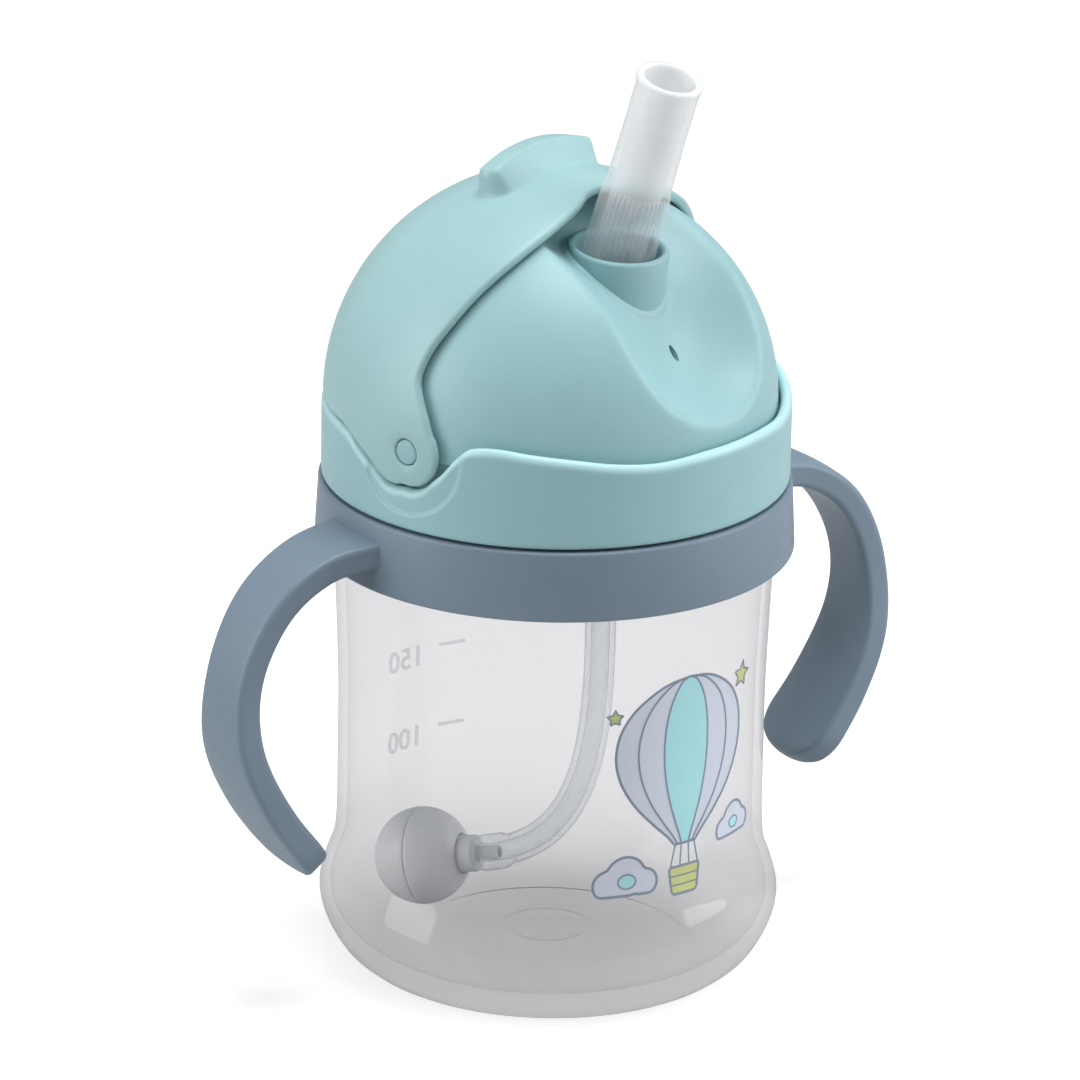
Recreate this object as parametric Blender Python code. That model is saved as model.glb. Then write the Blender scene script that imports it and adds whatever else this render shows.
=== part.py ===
"""Toddler's straw cup: clear bottle, two-handle ring, screw lid with a sliding hood, soft straw
and weighted drinking tube.

Frame: +Z up, origin at the centre of the foot, handles along +X and -X, printed front towards -Y.
The lid's own frame has its pivot axis along X and its drinking side towards -Y, and is turned
LID_TURN about Z where the thread bottoms out.
Sizes are in millimetres and angles in degrees. Profiles of turned pieces are (radius, height).
"""

import math

import bmesh
import bpy
import numpy as np
from mathutils import Matrix, Vector

for old in list(bpy.data.objects):
    bpy.data.objects.remove(old, do_unlink=True)

MM = 0.001
ROUND = 40  # facets of a large turned piece

# Bottle
FOOT_R = 28.6
FOOT_INNER_R = 24.0
FOOT_HOLLOW_Z = 0.9
BODY_BULGE_R = 36.7
BULGE_Z = 11.4
BODY_WAIST_R = 34.0
BODY_TOP_R = 34.9
WALL = 1.6
FLOOR_Z = 3.2
SHOULDER_Z = 71.4
NECK_R = 31.7
NECK_BORE_R = 30.2
NECK_TOP_Z = 91.2
# Outside of the body from above the bulge to the top of the waist
BODY_CURVE = [(35.8, 15.4), (34.5, 19.2), (34.05, 24.5), (BODY_WAIST_R, 34.0), (BODY_WAIST_R, 46.0)]

# Thread shared by neck and collar
PITCH = 4.0
THREAD_Z0 = 84.4
NECK_THREAD_TURNS = 1.25
COLLAR_THREAD_TURNS = 1.0
NECK_THREAD_R = 32.6
COLLAR_THREAD_R = 32.2
COLLAR_BORE_R = 33.1
RIDGE_SINK = 0.5  # how far a ridge's root lies inside its wall
RIDGE_ROOT_WIDTH = 1.7
RIDGE_CREST_WIDTH = 1.0
RIDGE_FACETS = 30  # per turn
RIDGE_RUN_OUT = 3  # steps over which each end fades

# Handle ring
RING_BOTTOM_Z = 69.9
RING_TOP_Z = 81.1
RING_BOTTOM_R = 38.0
RING_TOP_R = 37.4
RING_BORE_R = 32.95
RING_SHOULDER_GAP = 0.4
RING_BODY_GAP = 0.35
# Centre line of a handle: (distance from the axis, height)
HANDLE_PATH = [
    (34.6, 76.1), (45.0, 74.3), (53.2, 68.4), (58.2, 58.2), (58.6, 46.6), (53.8, 35.4),
    (45.4, 24.0),
]
HANDLE_PATH_STEPS = 3  # curve points per span
# (share of the length, size)
HANDLE_WIDTH = [(0.0, 15.0), (0.12, 12.8), (0.35, 11.6), (0.5, 11.2), (0.72, 14.0), (1.0, 16.2)]
HANDLE_THICKNESS = [(0.0, 4.5), (0.5, 4.4), (1.0, 4.9)]
HANDLE_CHAMFER = 1.1
HANDLE_TIP_STATIONS = (3.2, 1.6, 0.6, 0.1)  # extra stations, as distances from the tip

# Lid
LID_TURN = 18.2
SEAM_Z = 81.5
COLLAR_R = 37.0
COLLAR_TOP_Z = 99.5
COLLAR_LEDGE_Z = 92.4
RIM_CORE_R = 33.9
PIVOT_Z = 94.0
PIVOT = (0, 0, PIVOT_Z)
HOOD_R = 36.8
HOOD_INNER_R = 35.2
HOOD_CLOSE = 72.0  # angle from open to closed
EAR_R = 5.7
GAP = 0.4
CUT_REACH = 60.0  # takes side-view cuts well clear of the lid
SEAL_Z = (91.45, 92.5)

# Hood outline in the side view with the hood open:
# (distance from the pivot axis, angle from the drinking side)
HOOD_FRONT = [
    (HOOD_R, 74.0), (33.8, 73.4), (30.3, 74.4), (25.7, 77.0), (20.3, 80.4), (15.9, 84.6),
    (11.8, 86.5), (9.0, 78.0), (6.8, 60.0),
]
HOOD_REAR = [
    (6.6, 246.0), (7.6, 228.0), (8.8, 204.0), (12.0, 187.0), (16.0, 179.6), (30.0, 178.6),
    (HOOD_R, 178.4),
]
# Replaces the first point of HOOD_FRONT on the hood itself
STRAW_RECESS = [(38.0, 80.0), (36.75, 80.0), (36.3, 79.0), (35.6, 77.4)]
# Joins the collar's front rim to its ear notch
RIM_EAR_LEAD = [(7.9, -8), (7.1, -22)]

# Rib across the hood. Sections: (place along X, share of full height)
RIB_SECTIONS = [
    (-12.3, 0.3), (-11.7, 0.8), (-10.4, 1.05), (0, 1.2), (10.4, 1.05), (11.7, 0.8), (12.3, 0.3),
]
# Section outline: (across the rib, height above the hood)
RIB_OUTLINE = [(-4.6, -1.0), (-3.6, 1.6), (-1.8, 3.0), (0.4, 3.1), (2.4, 1.9), (4.8, -1.0)]
RIB_ROOT = -1.0
RIB_TURN = -7.0

# Pivot pins and their stepped holes, distances measured out along the pivot axis
PIN_FACETS = 20
PIN_TWIST = 5  # turns the facets about the pin's own axis
PIN_PROFILE = [(0, 32.2), (1.5, 32.2), (1.5, 36.2), (2.3, 36.2), (2.3, 36.95), (2.0, 37.2), (0, 37.2)]
PIN_HOLE_PROFILE = [(0, 31.95), (1.62, 31.95), (1.62, 35.95), (2.55, 35.95), (2.55, 40.0), (0, 40.0)]

# Dome
DOME_R = 34.8
DOME_WALL = 1.7
DOME_BOTTOM_Z = 92.7
DOME_INNER_BOTTOM_Z = 94.3
DOME_FACETS = 40
DOME_ANGLES = (9, 17, 25, 33, 41, 49, 57, 65, 73, 81, 90)  # rings, from straight up
PLUG_INNER_R = 29.0
PLUG_R = 29.9
PLUG_BOTTOM_Z = 89.0

# Drinking scoop in the dome
SCOOP_DEPTH = 9.2
SCOOP_MIDDLE = 52.0  # angle up from the drinking side
SCOOP_HALF_LENGTH = 45.5
SCOOP_HALF_WIDTH = 26.0
SCOOP_END_POWER = 3.6  # higher gives squarer ends
SCOOP_EDGE_BLEND = 0.05
SCOOP_CUTOFF = 0.004  # shares below this count as plain sphere
SCOOP_FLATNESS = 1.5  # lower gives a flatter floor

# Socket, straw and vent in the lid's symmetry plane: (towards the drinking side, height).
# Tilts lean towards the drinking side.
SOCKET_TOP = (11.85, 121.3)
SOCKET_TILT = 6.0
SOCKET_R = 8.0
SOCKET_BORE_R = 6.75
SOCKET_OUTLET_R = 4.3
SOCKET_DEPTH = 16.5
SOCKET_FLOOR = 1.4
SOCKET_FACETS = 32
VENT_AT = (22.7, 106.0)
VALVE_AT = (20.2, 104.6)
VENT_TILT = 62
VENT_HALF_SIZE = (0.55, 1.35)
STRAW_FOLD = (11.75, 120.0)
STRAW_TILT = 17.5
# (distance above the fold, outer radius, bore radius)
STRAW_STATIONS = [
    (-14.0, 3.4, 2.35), (-12.6, 3.4, 2.35), (-12.4, 6.1, 2.35), (-11.0, 6.1, 2.6),
    (-10.7, 5.4, 3.6), (-5.0, 5.55, 3.9), (-1.2, 5.65, 4.0), (1.2, 5.65, 4.0), (8.0, 5.5, 4.0),
    (12.0, 5.15, 3.95), (22.0, 5.0, 3.9), (30.2, 5.0, 3.9), (31.2, 5.2, 4.0), (31.8, 5.1, 4.15),
]
CONNECTOR_DROP = 14.6  # from the fold to the connector's origin

# Weighted ball
BALL_R = 7.9
BALL_WALL = 1.2
BALL_AXIS_DISTANCE = 21.8
BALL_AZIMUTH = 125.3
BALL_Z = 12.0
BALL_STUB_RISE = 12.0
BALL_FRONT_HOLE_R = 3.3
BALL_REAR_HOLE_R = 1.6
NIPPLE_BORE_R = 0.8
NIPPLE_R = 1.15

# Drinking tube
TUBE_R = 2.45
TUBE_BORE_R = 1.5
TUBE_POINTS = 19
TUBE_TOP_OFFSET = 1.4  # below the connector's origin
TUBE_FOOT_OFFSET = 10.2  # from the ball's centre
TUBE_TOP_ARM = 42  # Bezier arms
TUBE_FOOT_ARM = 30


# ---------------------------------------------------------------- materials


def material(name, colour, roughness, metallic=0.0, alpha=1.0, transmission=0.0):
    mat = bpy.data.materials.new(name)
    mat.use_nodes = True
    inputs = mat.node_tree.nodes["Principled BSDF"].inputs
    inputs["Base Color"].default_value = (*colour, 1.0)
    inputs["Roughness"].default_value = roughness
    inputs["Metallic"].default_value = metallic
    inputs["Alpha"].default_value = alpha
    inputs["Transmission Weight"].default_value = transmission
    mat.diffuse_color = (*colour, alpha)
    return mat


CLEAR = material(
    "clear_plastic", colour=(0.86, 0.87, 0.88), roughness=0.08, alpha=0.35, transmission=0.9
)
MINT = material("mint_plastic", colour=(0.35, 0.55, 0.56), roughness=0.42)
MINT_LIGHT = material("mint_hood_plastic", colour=(0.42, 0.62, 0.63), roughness=0.42)
SLATE = material("slate_plastic", colour=(0.2, 0.25, 0.31), roughness=0.45)
SILICONE = material("frosted_silicone", colour=(0.78, 0.8, 0.81), roughness=0.5, alpha=0.8)
SEAL = material("white_silicone", colour=(0.85, 0.86, 0.86), roughness=0.6)
BALL_PLASTIC = material("grey_ball_plastic", colour=(0.5, 0.52, 0.53), roughness=0.35)
STEEL = material("weight_steel", colour=(0.6, 0.6, 0.6), roughness=0.3, metallic=1.0)


# ---------------------------------------------------------------- objects


def place(name, data, parent=None, location=(0, 0, 0), rotation=(0, 0, 0)):
    """A named object in the scene. Without data it is an empty."""
    ob = bpy.data.objects.new(name, data)
    bpy.context.scene.collection.objects.link(ob)
    ob.location = Vector(location) * MM
    ob.rotation_euler = rotation
    ob.parent = parent
    return ob


def part(name, bm, mat=None, **placement):
    """An object from a bmesh in millimetres, its coordinates relative to its own origin."""
    bmesh.ops.remove_doubles(bm, verts=bm.verts, dist=1e-4)
    bmesh.ops.recalc_face_normals(bm, faces=bm.faces)
    if bm.calc_volume(signed=True) < 0:
        bmesh.ops.reverse_faces(bm, faces=bm.faces)
    bmesh.ops.scale(bm, vec=(MM, MM, MM), verts=bm.verts)
    mesh = bpy.data.meshes.new(name)
    bm.to_mesh(mesh)
    bm.free()
    mesh.shade_smooth()
    mesh.set_sharp_from_angle(angle=math.radians(35))
    if mat:
        mesh.materials.append(mat)
    return place(name, mesh, **placement)


def helper(name, bm, **placement):
    """A hidden shape for a boolean."""
    ob = part(name, bm, **placement)
    ob.hide_render = True
    ob.display_type = "WIRE"
    ob.hide_set(True)
    return ob


def boolean(ob, tool, operation="DIFFERENCE"):
    modifier = ob.modifiers.new(f"{operation.lower()}_{tool.name}", "BOOLEAN")
    modifier.operation = operation
    modifier.solver = "EXACT"
    modifier.object = tool


# ---------------------------------------------------------------- curves and meshes


def polar(radius, angle):
    return (radius * math.cos(math.radians(angle)), radius * math.sin(math.radians(angle)))


def arc(radius, start, end, steps):
    return [polar(radius, start + (end - start) * k / steps) for k in range(steps + 1)]


def ellipse(radius_1, radius_2, count):
    angles = [2 * math.pi * k / count for k in range(count)]
    return [(radius_1 * math.cos(angle), radius_2 * math.sin(angle)) for angle in angles]


def smooth_curve(points, steps):
    """A Catmull-Rom curve through the points."""
    pts = [np.array(point, float) for point in points]
    pts = [2 * pts[0] - pts[1]] + pts + [2 * pts[-1] - pts[-2]]
    curve = []
    for a, b, c, d in zip(pts, pts[1:], pts[2:], pts[3:]):
        for k in range(steps):
            t = k / steps
            square = (2 * a - 5 * b + 4 * c - d) * t * t
            cube = (3 * b - a - 3 * c + d) * t**3
            curve.append(0.5 * (2 * b + (c - a) * t + square + cube))
    curve.append(pts[-2])
    return curve


def rings_mesh(rings, ends):
    """A bmesh from rings of points. Ends are "capped", "open", or "joined" to each other.

    The first or last ring may be a pole of one point.
    """
    bm = bmesh.new()
    made = [[bm.verts.new(point) for point in ring] for ring in rings]
    pairs = list(zip(made, made[1:]))
    if ends == "joined":
        pairs.append((made[-1], made[0]))
    for a, b in pairs:
        count = max(len(a), len(b))
        for i in range(count):
            j = (i + 1) % count
            if len(a) == 1:
                bm.faces.new((a[0], b[j], b[i]))
            elif len(b) == 1:
                bm.faces.new((a[i], a[j], b[0]))
            else:
                bm.faces.new((a[i], a[j], b[j], b[i]))
    if ends == "capped":
        bm.faces.new(made[0])
        bm.faces.new(list(reversed(made[-1])))
    return bm


def turned(profile, facets=ROUND):
    """A closed profile of (radius, height) points, spun about Z. A radius of 0 is a pole."""
    bm = bmesh.new()
    verts = [bm.verts.new((radius, 0, z)) for radius, z in profile]
    edges = [bm.edges.new(pair) for pair in zip(verts, verts[1:])]
    if profile[0][0] > 0 or profile[-1][0] > 0:
        edges.append(bm.edges.new((verts[-1], verts[0])))
    bmesh.ops.spin(
        bm, geom=verts + edges, cent=(0, 0, 0), axis=(0, 0, 1), angle=2 * math.pi,
        steps=facets, use_merge=True,
    )
    return bm


def section_ring(centres, i, reference, section):
    """A flat section set square to a path at point i, one of its axes nearest the reference.

    The section's points are (along that axis, along the path direction crossed with it).
    """
    before = centres[max(i - 1, 0)]
    after = centres[min(i + 1, len(centres) - 1)]
    along = (Vector(after) - Vector(before)).normalized()
    first = (reference - along * reference.dot(along)).normalized()
    second = along.cross(first)
    return [Vector(centres[i]) + first * a + second * b for a, b in section]


def tube_along(centres, outer, inner, facets, reference):
    """A hollow tube along a path, with a radius for each point."""
    rings = []
    for radii, order in ((outer, range(len(centres))), (inner, reversed(range(len(centres))))):
        for i in order:
            section = ellipse(radii[i], radii[i], facets)
            rings.append(section_ring(centres, i, reference, section))
    return rings_mesh(rings, "joined")


def helix_ridge(root_r, crest_r, z_start, turns):
    """A screw ridge with a trapezium section and run-out ends."""
    rings = []
    steps = int(RIDGE_FACETS * turns)
    half_root = RIDGE_ROOT_WIDTH / 2
    for k in range(steps + 1):
        angle = 2 * math.pi * turns * k / steps
        fade = min(1.0, min(k, steps - k) / RIDGE_RUN_OUT)
        top_r = root_r + (crest_r - root_r) * (0.35 + 0.65 * fade)
        half_top = RIDGE_CREST_WIDTH * (0.5 + 0.5 * fade) / 2
        z = z_start + PITCH * angle / (2 * math.pi)
        section = [
            (root_r, z - half_root), (top_r, z - half_top),
            (top_r, z + half_top), (root_r, z + half_root),
        ]
        rings.append([(r * math.cos(angle), r * math.sin(angle), h) for r, h in section])
    return rings_mesh(rings, "capped")


def side_prism(outline):
    """A prism along X from (towards the drinking side, up) points about the pivot axis."""
    rings = [
        [(x, -forward, PIVOT_Z + up) for forward, up in outline] for x in (-CUT_REACH, CUT_REACH)
    ]
    return rings_mesh(rings, "capped")


def lid_point(forward, z):
    """A point in the lid's symmetry plane, forward being towards the drinking side."""
    return Vector((0, -forward, z))


def lid_direction(tilt):
    """Up, leaning towards the drinking side."""
    return lid_point(math.sin(math.radians(tilt)), math.cos(math.radians(tilt)))


def lean(tilt):
    """The rotation that takes +Z to lid_direction(tilt)."""
    return (math.radians(tilt), 0, 0)


# ---------------------------------------------------------------- bottle and handles


def make_bottle():
    outer = [
        (0, FOOT_HOLLOW_Z), (FOOT_INNER_R - 1.2, FOOT_HOLLOW_Z), (FOOT_INNER_R, 0.0),
        (FOOT_R, 0.0), (FOOT_R + 1.6, 0.35), (33.4, 3.2), (35.9, 7.4), (BODY_BULGE_R, BULGE_Z),
        *BODY_CURVE,
        (34.4, 58.0), (BODY_TOP_R, 68.8), (BODY_TOP_R, SHOULDER_Z - 0.5),
        (BODY_TOP_R - 0.5, SHOULDER_Z), (NECK_R, SHOULDER_Z),
        (NECK_R, NECK_TOP_Z - 0.4), (NECK_R - 0.4, NECK_TOP_Z),
    ]
    # Ends in a small raised ring on the floor
    inner = [
        (NECK_BORE_R + 0.3, NECK_TOP_Z), (NECK_BORE_R, NECK_TOP_Z - 0.4),
        (NECK_BORE_R, SHOULDER_Z - 0.4), (BODY_TOP_R - WALL, SHOULDER_Z - 3.0),
        (34.3 - WALL, 58.0),
        *[(radius - WALL, z) for radius, z in reversed(BODY_CURVE)],
        (BODY_BULGE_R - WALL - 0.2, BULGE_Z), (33.6, 7.9), (30.2, 4.7), (26.0, FLOOR_Z),
        (7.5, FLOOR_Z), (7.0, FLOOR_Z + 0.5), (6.2, FLOOR_Z + 0.5), (5.7, FLOOR_Z),
        (0, FLOOR_Z),
    ]
    bottle = part("bottle", turned(outer + inner), CLEAR)
    ridge = helix_ridge(NECK_R - RIDGE_SINK, NECK_THREAD_R, THREAD_Z0, NECK_THREAD_TURNS)
    boolean(bottle, helper("neck_ridge_shape", ridge), "UNION")


def round_off(half_size, left, least):
    """Narrows a half size to a round end. left is the distance to the tip."""
    if left < half_size:
        half_size *= math.sqrt(max(1 - ((half_size - left) / half_size) ** 2, least))
    return half_size


def chamfered_section(half_thick, half_width):
    """A chamfered rectangle as (through the thickness, across the width) points."""
    t, w = half_thick, half_width
    c = min(HANDLE_CHAMFER, t * 0.5, w * 0.5)
    return [
        (-t + c, w), (t - c, w), (t, w - c), (t, -w + c),
        (t - c, -w), (-t + c, -w), (-t, -w + c), (-t, w - c),
    ]


def handle_stations():
    """(distance from axis, height, change in each along the path, section) for each station."""
    path = smooth_curve(HANDLE_PATH, HANDLE_PATH_STEPS)
    spans = [np.linalg.norm(b - a) for a, b in zip(path, path[1:])]
    travelled = np.concatenate([[0], np.cumsum(spans)])
    total = travelled[-1]

    def path_at(distance):
        return [float(np.interp(distance, travelled, column)) for column in zip(*path)]

    def half_size(table, distance):
        return float(np.interp(distance / total, *zip(*table))) / 2

    spots = [*travelled[:-1], *[total - back for back in HANDLE_TIP_STATIONS]]
    stations = []
    for spot in sorted({round(float(spot), 3) for spot in spots}):
        radius, z = path_at(spot)
        radius_after, z_after = path_at(spot + 0.5)
        radius_before, z_before = path_at(spot - 0.5)
        half_width = round_off(half_size(HANDLE_WIDTH, spot), total - spot, least=0.04)
        half_thick = round_off(half_size(HANDLE_THICKNESS, spot), total - spot, least=0.09)
        section = chamfered_section(half_thick, half_width)
        stations.append((radius, z, radius_after - radius_before, z_after - z_before, section))
    return stations


def handle_mesh(sign, stations):
    """A handle on the +X or -X side."""
    centres = [(sign * radius, 0, z) for radius, z, *_ in stations]
    rings = []
    for i, (_, _, radius_change, z_change, section) in enumerate(stations):
        normal = Vector((-sign * z_change, 0, radius_change))
        # The width runs along the path direction crossed with the normal
        rings.append(section_ring(centres, i, normal, section))
    return rings_mesh(rings, "capped")


def make_handle_ring():
    step_r = BODY_TOP_R + RING_BODY_GAP
    step_z = SHOULDER_Z + RING_SHOULDER_GAP
    profile = [
        (RING_BORE_R, RING_TOP_Z), (RING_BORE_R, step_z), (step_r, step_z),
        (step_r, RING_BOTTOM_Z), (RING_BOTTOM_R - 0.6, RING_BOTTOM_Z),
        (RING_BOTTOM_R, RING_BOTTOM_Z + 0.6), (RING_TOP_R, RING_TOP_Z - 0.5),
        (RING_TOP_R - 0.5, RING_TOP_Z),
    ]
    ring = part("handle_ring", turned(profile), SLATE)
    stations = handle_stations()
    for sign, side in ((1, "right"), (-1, "left")):
        shape = helper(f"handle_{side}_shape", handle_mesh(sign, stations))
        boolean(ring, shape, "UNION")


# ---------------------------------------------------------------- lid


def hood_outline():
    """Side view of what is kept of the hood sphere."""
    ear = [polar(EAR_R, angle) for angle in range(400, 246, -14)]
    front = [polar(*point) for point in STRAW_RECESS + HOOD_FRONT[1:]]
    rear = [polar(*point) for point in HOOD_REAR]
    front_angle, rear_angle = STRAW_RECESS[0][1], HOOD_REAR[-1][1]
    beyond = [polar(CUT_REACH, angle) for angle in (rear_angle, 145, 110)]
    return [polar(CUT_REACH, front_angle), *front, *ear, *rear, *beyond]


def rim_outline():
    """Side view of what is cut from the collar: below the closed front and the open rear."""

    def lowered(points, turn):
        rim = [polar(radius, angle - turn) for radius, angle in points]
        return [(forward, up - GAP) for forward, up in rim]

    front = lowered(HOOD_FRONT[:-1], HOOD_CLOSE)
    rear = lowered(HOOD_REAR, 0)
    lead = [polar(*point) for point in RIM_EAR_LEAD]
    notch = [polar(EAR_R + GAP + 0.15, angle) for angle in range(-36, -100, -12)]
    return [
        (CUT_REACH, front[0][1]), *front, *lead, *notch, *rear,
        (-CUT_REACH, rear[-1][1]), (-CUT_REACH, CUT_REACH), (CUT_REACH, CUT_REACH),
    ]


def make_collar(lid):
    profile = [
        (COLLAR_BORE_R, SEAM_Z), (COLLAR_R - 0.4, SEAM_Z), (COLLAR_R, SEAM_Z + 0.4),
        (COLLAR_R, COLLAR_TOP_Z), (DOME_R + 0.3, COLLAR_TOP_Z), (DOME_R + 0.3, COLLAR_LEDGE_Z),
        (NECK_R + 0.4, COLLAR_LEDGE_Z), (NECK_R + 0.4, 91.3), (COLLAR_BORE_R, 90.6),
    ]
    collar = part("lid_collar", turned(profile), MINT, parent=lid)
    # Half a pitch below the neck ridge, and built in the bottle's frame
    ridge_z = THREAD_Z0 + PITCH * (LID_TURN / 360 - 0.5)
    ridge_mesh = helix_ridge(
        COLLAR_BORE_R + RIDGE_SINK, COLLAR_THREAD_R, ridge_z, COLLAR_THREAD_TURNS
    )
    ridge = helper("collar_ridge_shape", ridge_mesh)
    rim_cut = helper("rim_cut_shape", side_prism(rim_outline()), parent=lid)
    # Keeps the rim cut out of the collar's ledge
    core_top = COLLAR_LEDGE_Z + 0.6
    core_profile = [(0, 80.0), (RIM_CORE_R, 80.0), (RIM_CORE_R, core_top), (0, core_top)]
    core = helper("rim_core_shape", turned(core_profile), parent=lid)
    boolean(rim_cut, core)
    boolean(collar, rim_cut)
    boolean(collar, ridge, "UNION")


def scoop_depth(x, forward, up):
    """Depth of the drinking scoop below the sphere, for a unit direction."""
    across = math.degrees(math.asin(x))
    turn = math.degrees(math.atan2(up, forward))
    lengthwise = abs((turn - SCOOP_MIDDLE) / SCOOP_HALF_LENGTH)
    share = 1 - lengthwise**SCOOP_END_POWER - (across / SCOOP_HALF_WIDTH) ** 2
    share = 0.5 * (share + math.sqrt(share * share + SCOOP_EDGE_BLEND**2))
    if share < SCOOP_CUTOFF:
        return 0.0
    return SCOOP_DEPTH * (1 + SCOOP_FLATNESS) * share / (share + SCOOP_FLATNESS)


def dome_point(theta, phi, inset):
    """theta is from straight up, phi from the drinking side, both in radians."""
    x = math.sin(theta) * math.sin(phi)
    forward = math.sin(theta) * math.cos(phi)
    up = math.cos(theta)
    radius = DOME_R - scoop_depth(x, forward, up) - inset
    return (radius * x, -radius * forward, PIVOT_Z + radius * up)


def dome_mesh():
    turns = [2 * math.pi * k / DOME_FACETS for k in range(DOME_FACETS)]
    thetas = [math.radians(angle) for angle in DOME_ANGLES]

    def skin(ring_thetas, inset):
        return [[dome_point(theta, phi, inset) for phi in turns] for theta in ring_thetas]

    skirt = [
        (DOME_R, DOME_BOTTOM_Z), (PLUG_R, DOME_BOTTOM_Z), (PLUG_R, PLUG_BOTTOM_Z),
        (PLUG_INNER_R, PLUG_BOTTOM_Z), (PLUG_INNER_R, DOME_INNER_BOTTOM_Z),
        (DOME_R - DOME_WALL - 0.1, DOME_INNER_BOTTOM_Z),
    ]
    rings = [[dome_point(0, 0, 0)]]
    rings += skin(thetas, 0)
    rings += [[(r * math.sin(phi), -r * math.cos(phi), z) for phi in turns] for r, z in skirt]
    rings += skin(reversed(thetas[:-1]), DOME_WALL)
    rings.append([dome_point(0, 0, DOME_WALL)])
    return rings_mesh(rings, "open")


def make_dome(lid):
    dome = part("lid_dome", dome_mesh(), MINT, parent=lid)
    on_socket = {
        "parent": lid, "location": lid_point(*SOCKET_TOP), "rotation": lean(SOCKET_TILT)
    }
    socket_profile = [
        (0, -SOCKET_DEPTH), (SOCKET_R, -SOCKET_DEPTH), (SOCKET_R, -0.4), (SOCKET_R - 0.4, 0),
        (0, 0),
    ]
    floor = SOCKET_FLOOR - SOCKET_DEPTH
    bore_profile = [
        (0, -SOCKET_DEPTH - 4), (SOCKET_OUTLET_R, -SOCKET_DEPTH - 4), (SOCKET_OUTLET_R, floor),
        (SOCKET_BORE_R, floor), (SOCKET_BORE_R, 16), (0, 16),
    ]
    socket = helper("socket_shape", turned(socket_profile, SOCKET_FACETS), **on_socket)
    bore = helper("socket_bore_shape", turned(bore_profile, SOCKET_FACETS), **on_socket)
    vent_rings = [[(x, y, z) for x, y in ellipse(*VENT_HALF_SIZE, 12)] for z in (-6, 6)]
    vent = helper(
        "vent_shape", rings_mesh(vent_rings, "capped"),
        parent=lid, location=lid_point(*VENT_AT), rotation=lean(VENT_TILT),
    )
    boolean(dome, socket, "UNION")
    boolean(dome, bore)
    boolean(dome, vent)
    return dome


def hood_sphere(radius):
    """A sphere with its poles on the X axis."""
    bm = bmesh.new()
    bmesh.ops.create_uvsphere(bm, u_segments=40, v_segments=22, radius=radius)
    bmesh.ops.transform(bm, matrix=Matrix.Rotation(math.pi / 2, 4, "Y"), verts=bm.verts)
    return bm


def rib_mesh():
    rings = []
    for x, share in RIB_SECTIONS:
        base = HOOD_R - x * x / (2 * HOOD_R)  # follows the hood's curve
        rings.append([
            (x, across * (0.5 + 0.5 * share), base + RIB_ROOT + (height - RIB_ROOT) * share)
            for across, height in RIB_OUTLINE
        ])
    return rings_mesh(rings, "capped")


def make_hood(lid):
    hood = part("hood", hood_sphere(HOOD_R), MINT_LIGHT, parent=lid, location=PIVOT)
    core = helper("hood_core_shape", hood_sphere(HOOD_INNER_R), parent=lid, location=PIVOT)
    outline = helper("hood_outline_shape", side_prism(hood_outline()), parent=lid)
    rib = helper(
        "grip_rib_shape", rib_mesh(), parent=lid, location=PIVOT, rotation=lean(RIB_TURN)
    )
    boolean(hood, core)
    boolean(hood, outline, "INTERSECT")
    boolean(hood, rib, "UNION")
    return hood


def make_pins(lid, hood, dome):
    twist = Matrix.Rotation(math.radians(PIN_TWIST), 3, "Z")
    for side, sign in (("right", 1), ("left", -1)):
        rotation = (Matrix.Rotation(sign * math.pi / 2, 3, "Y") @ twist).to_euler()
        on_pivot = {"parent": lid, "location": PIVOT, "rotation": rotation}
        hole = helper(f"pin_hole_{side}_shape", turned(PIN_HOLE_PROFILE, PIN_FACETS), **on_pivot)
        boolean(hood, hole)
        boolean(dome, hole)
        part(f"pivot_pin_{side}", turned(PIN_PROFILE, PIN_FACETS), MINT, **on_pivot)


def make_seal():
    inner_r, outer_r = NECK_BORE_R + 0.1, NECK_R + 0.1
    bottom, top = SEAL_Z
    profile = [(inner_r, bottom), (outer_r, bottom), (outer_r, top), (inner_r, top)]
    part("lid_seal", turned(profile), SEAL)


def make_vent_valve(lid):
    """A disc under the vent."""
    profile = [(0, -0.9), (2.4, -0.9), (2.8, -0.3), (2.8, 0.0), (0, 0.0)]
    part(
        "vent_valve", turned(profile, 20), SILICONE,
        parent=lid, location=lid_point(*VALVE_AT), rotation=lean(VENT_TILT),
    )


# ---------------------------------------------------------------- straw, ball and tube


def make_straw(lid):
    """In line with the socket below the fold, and leaning further above it."""
    distances, outer, inner = zip(*STRAW_STATIONS)
    below, above = lid_direction(SOCKET_TILT), lid_direction(STRAW_TILT)
    path = [(below if distance < 0 else above) * distance for distance in distances]
    mesh = tube_along(path, outer, inner, 20, Vector((1, 0, 0)))
    part("straw", mesh, SILICONE, parent=lid, location=lid_point(*STRAW_FOLD))


def make_tube_connector(lid, location):
    profile = [
        (NIPPLE_BORE_R, -5.6), (NIPPLE_BORE_R, 4.0), (1.9, 4.0), (2.05, 2.6), (1.8, 0.2),
        (3.3, 0.2), (3.3, -1.0), (NIPPLE_R, -1.0), (NIPPLE_R, -5.6),
    ]
    part(
        "tube_connector", turned(profile, 20), BALL_PLASTIC,
        parent=lid, location=location, rotation=lean(SOCKET_TILT),
    )


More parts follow.
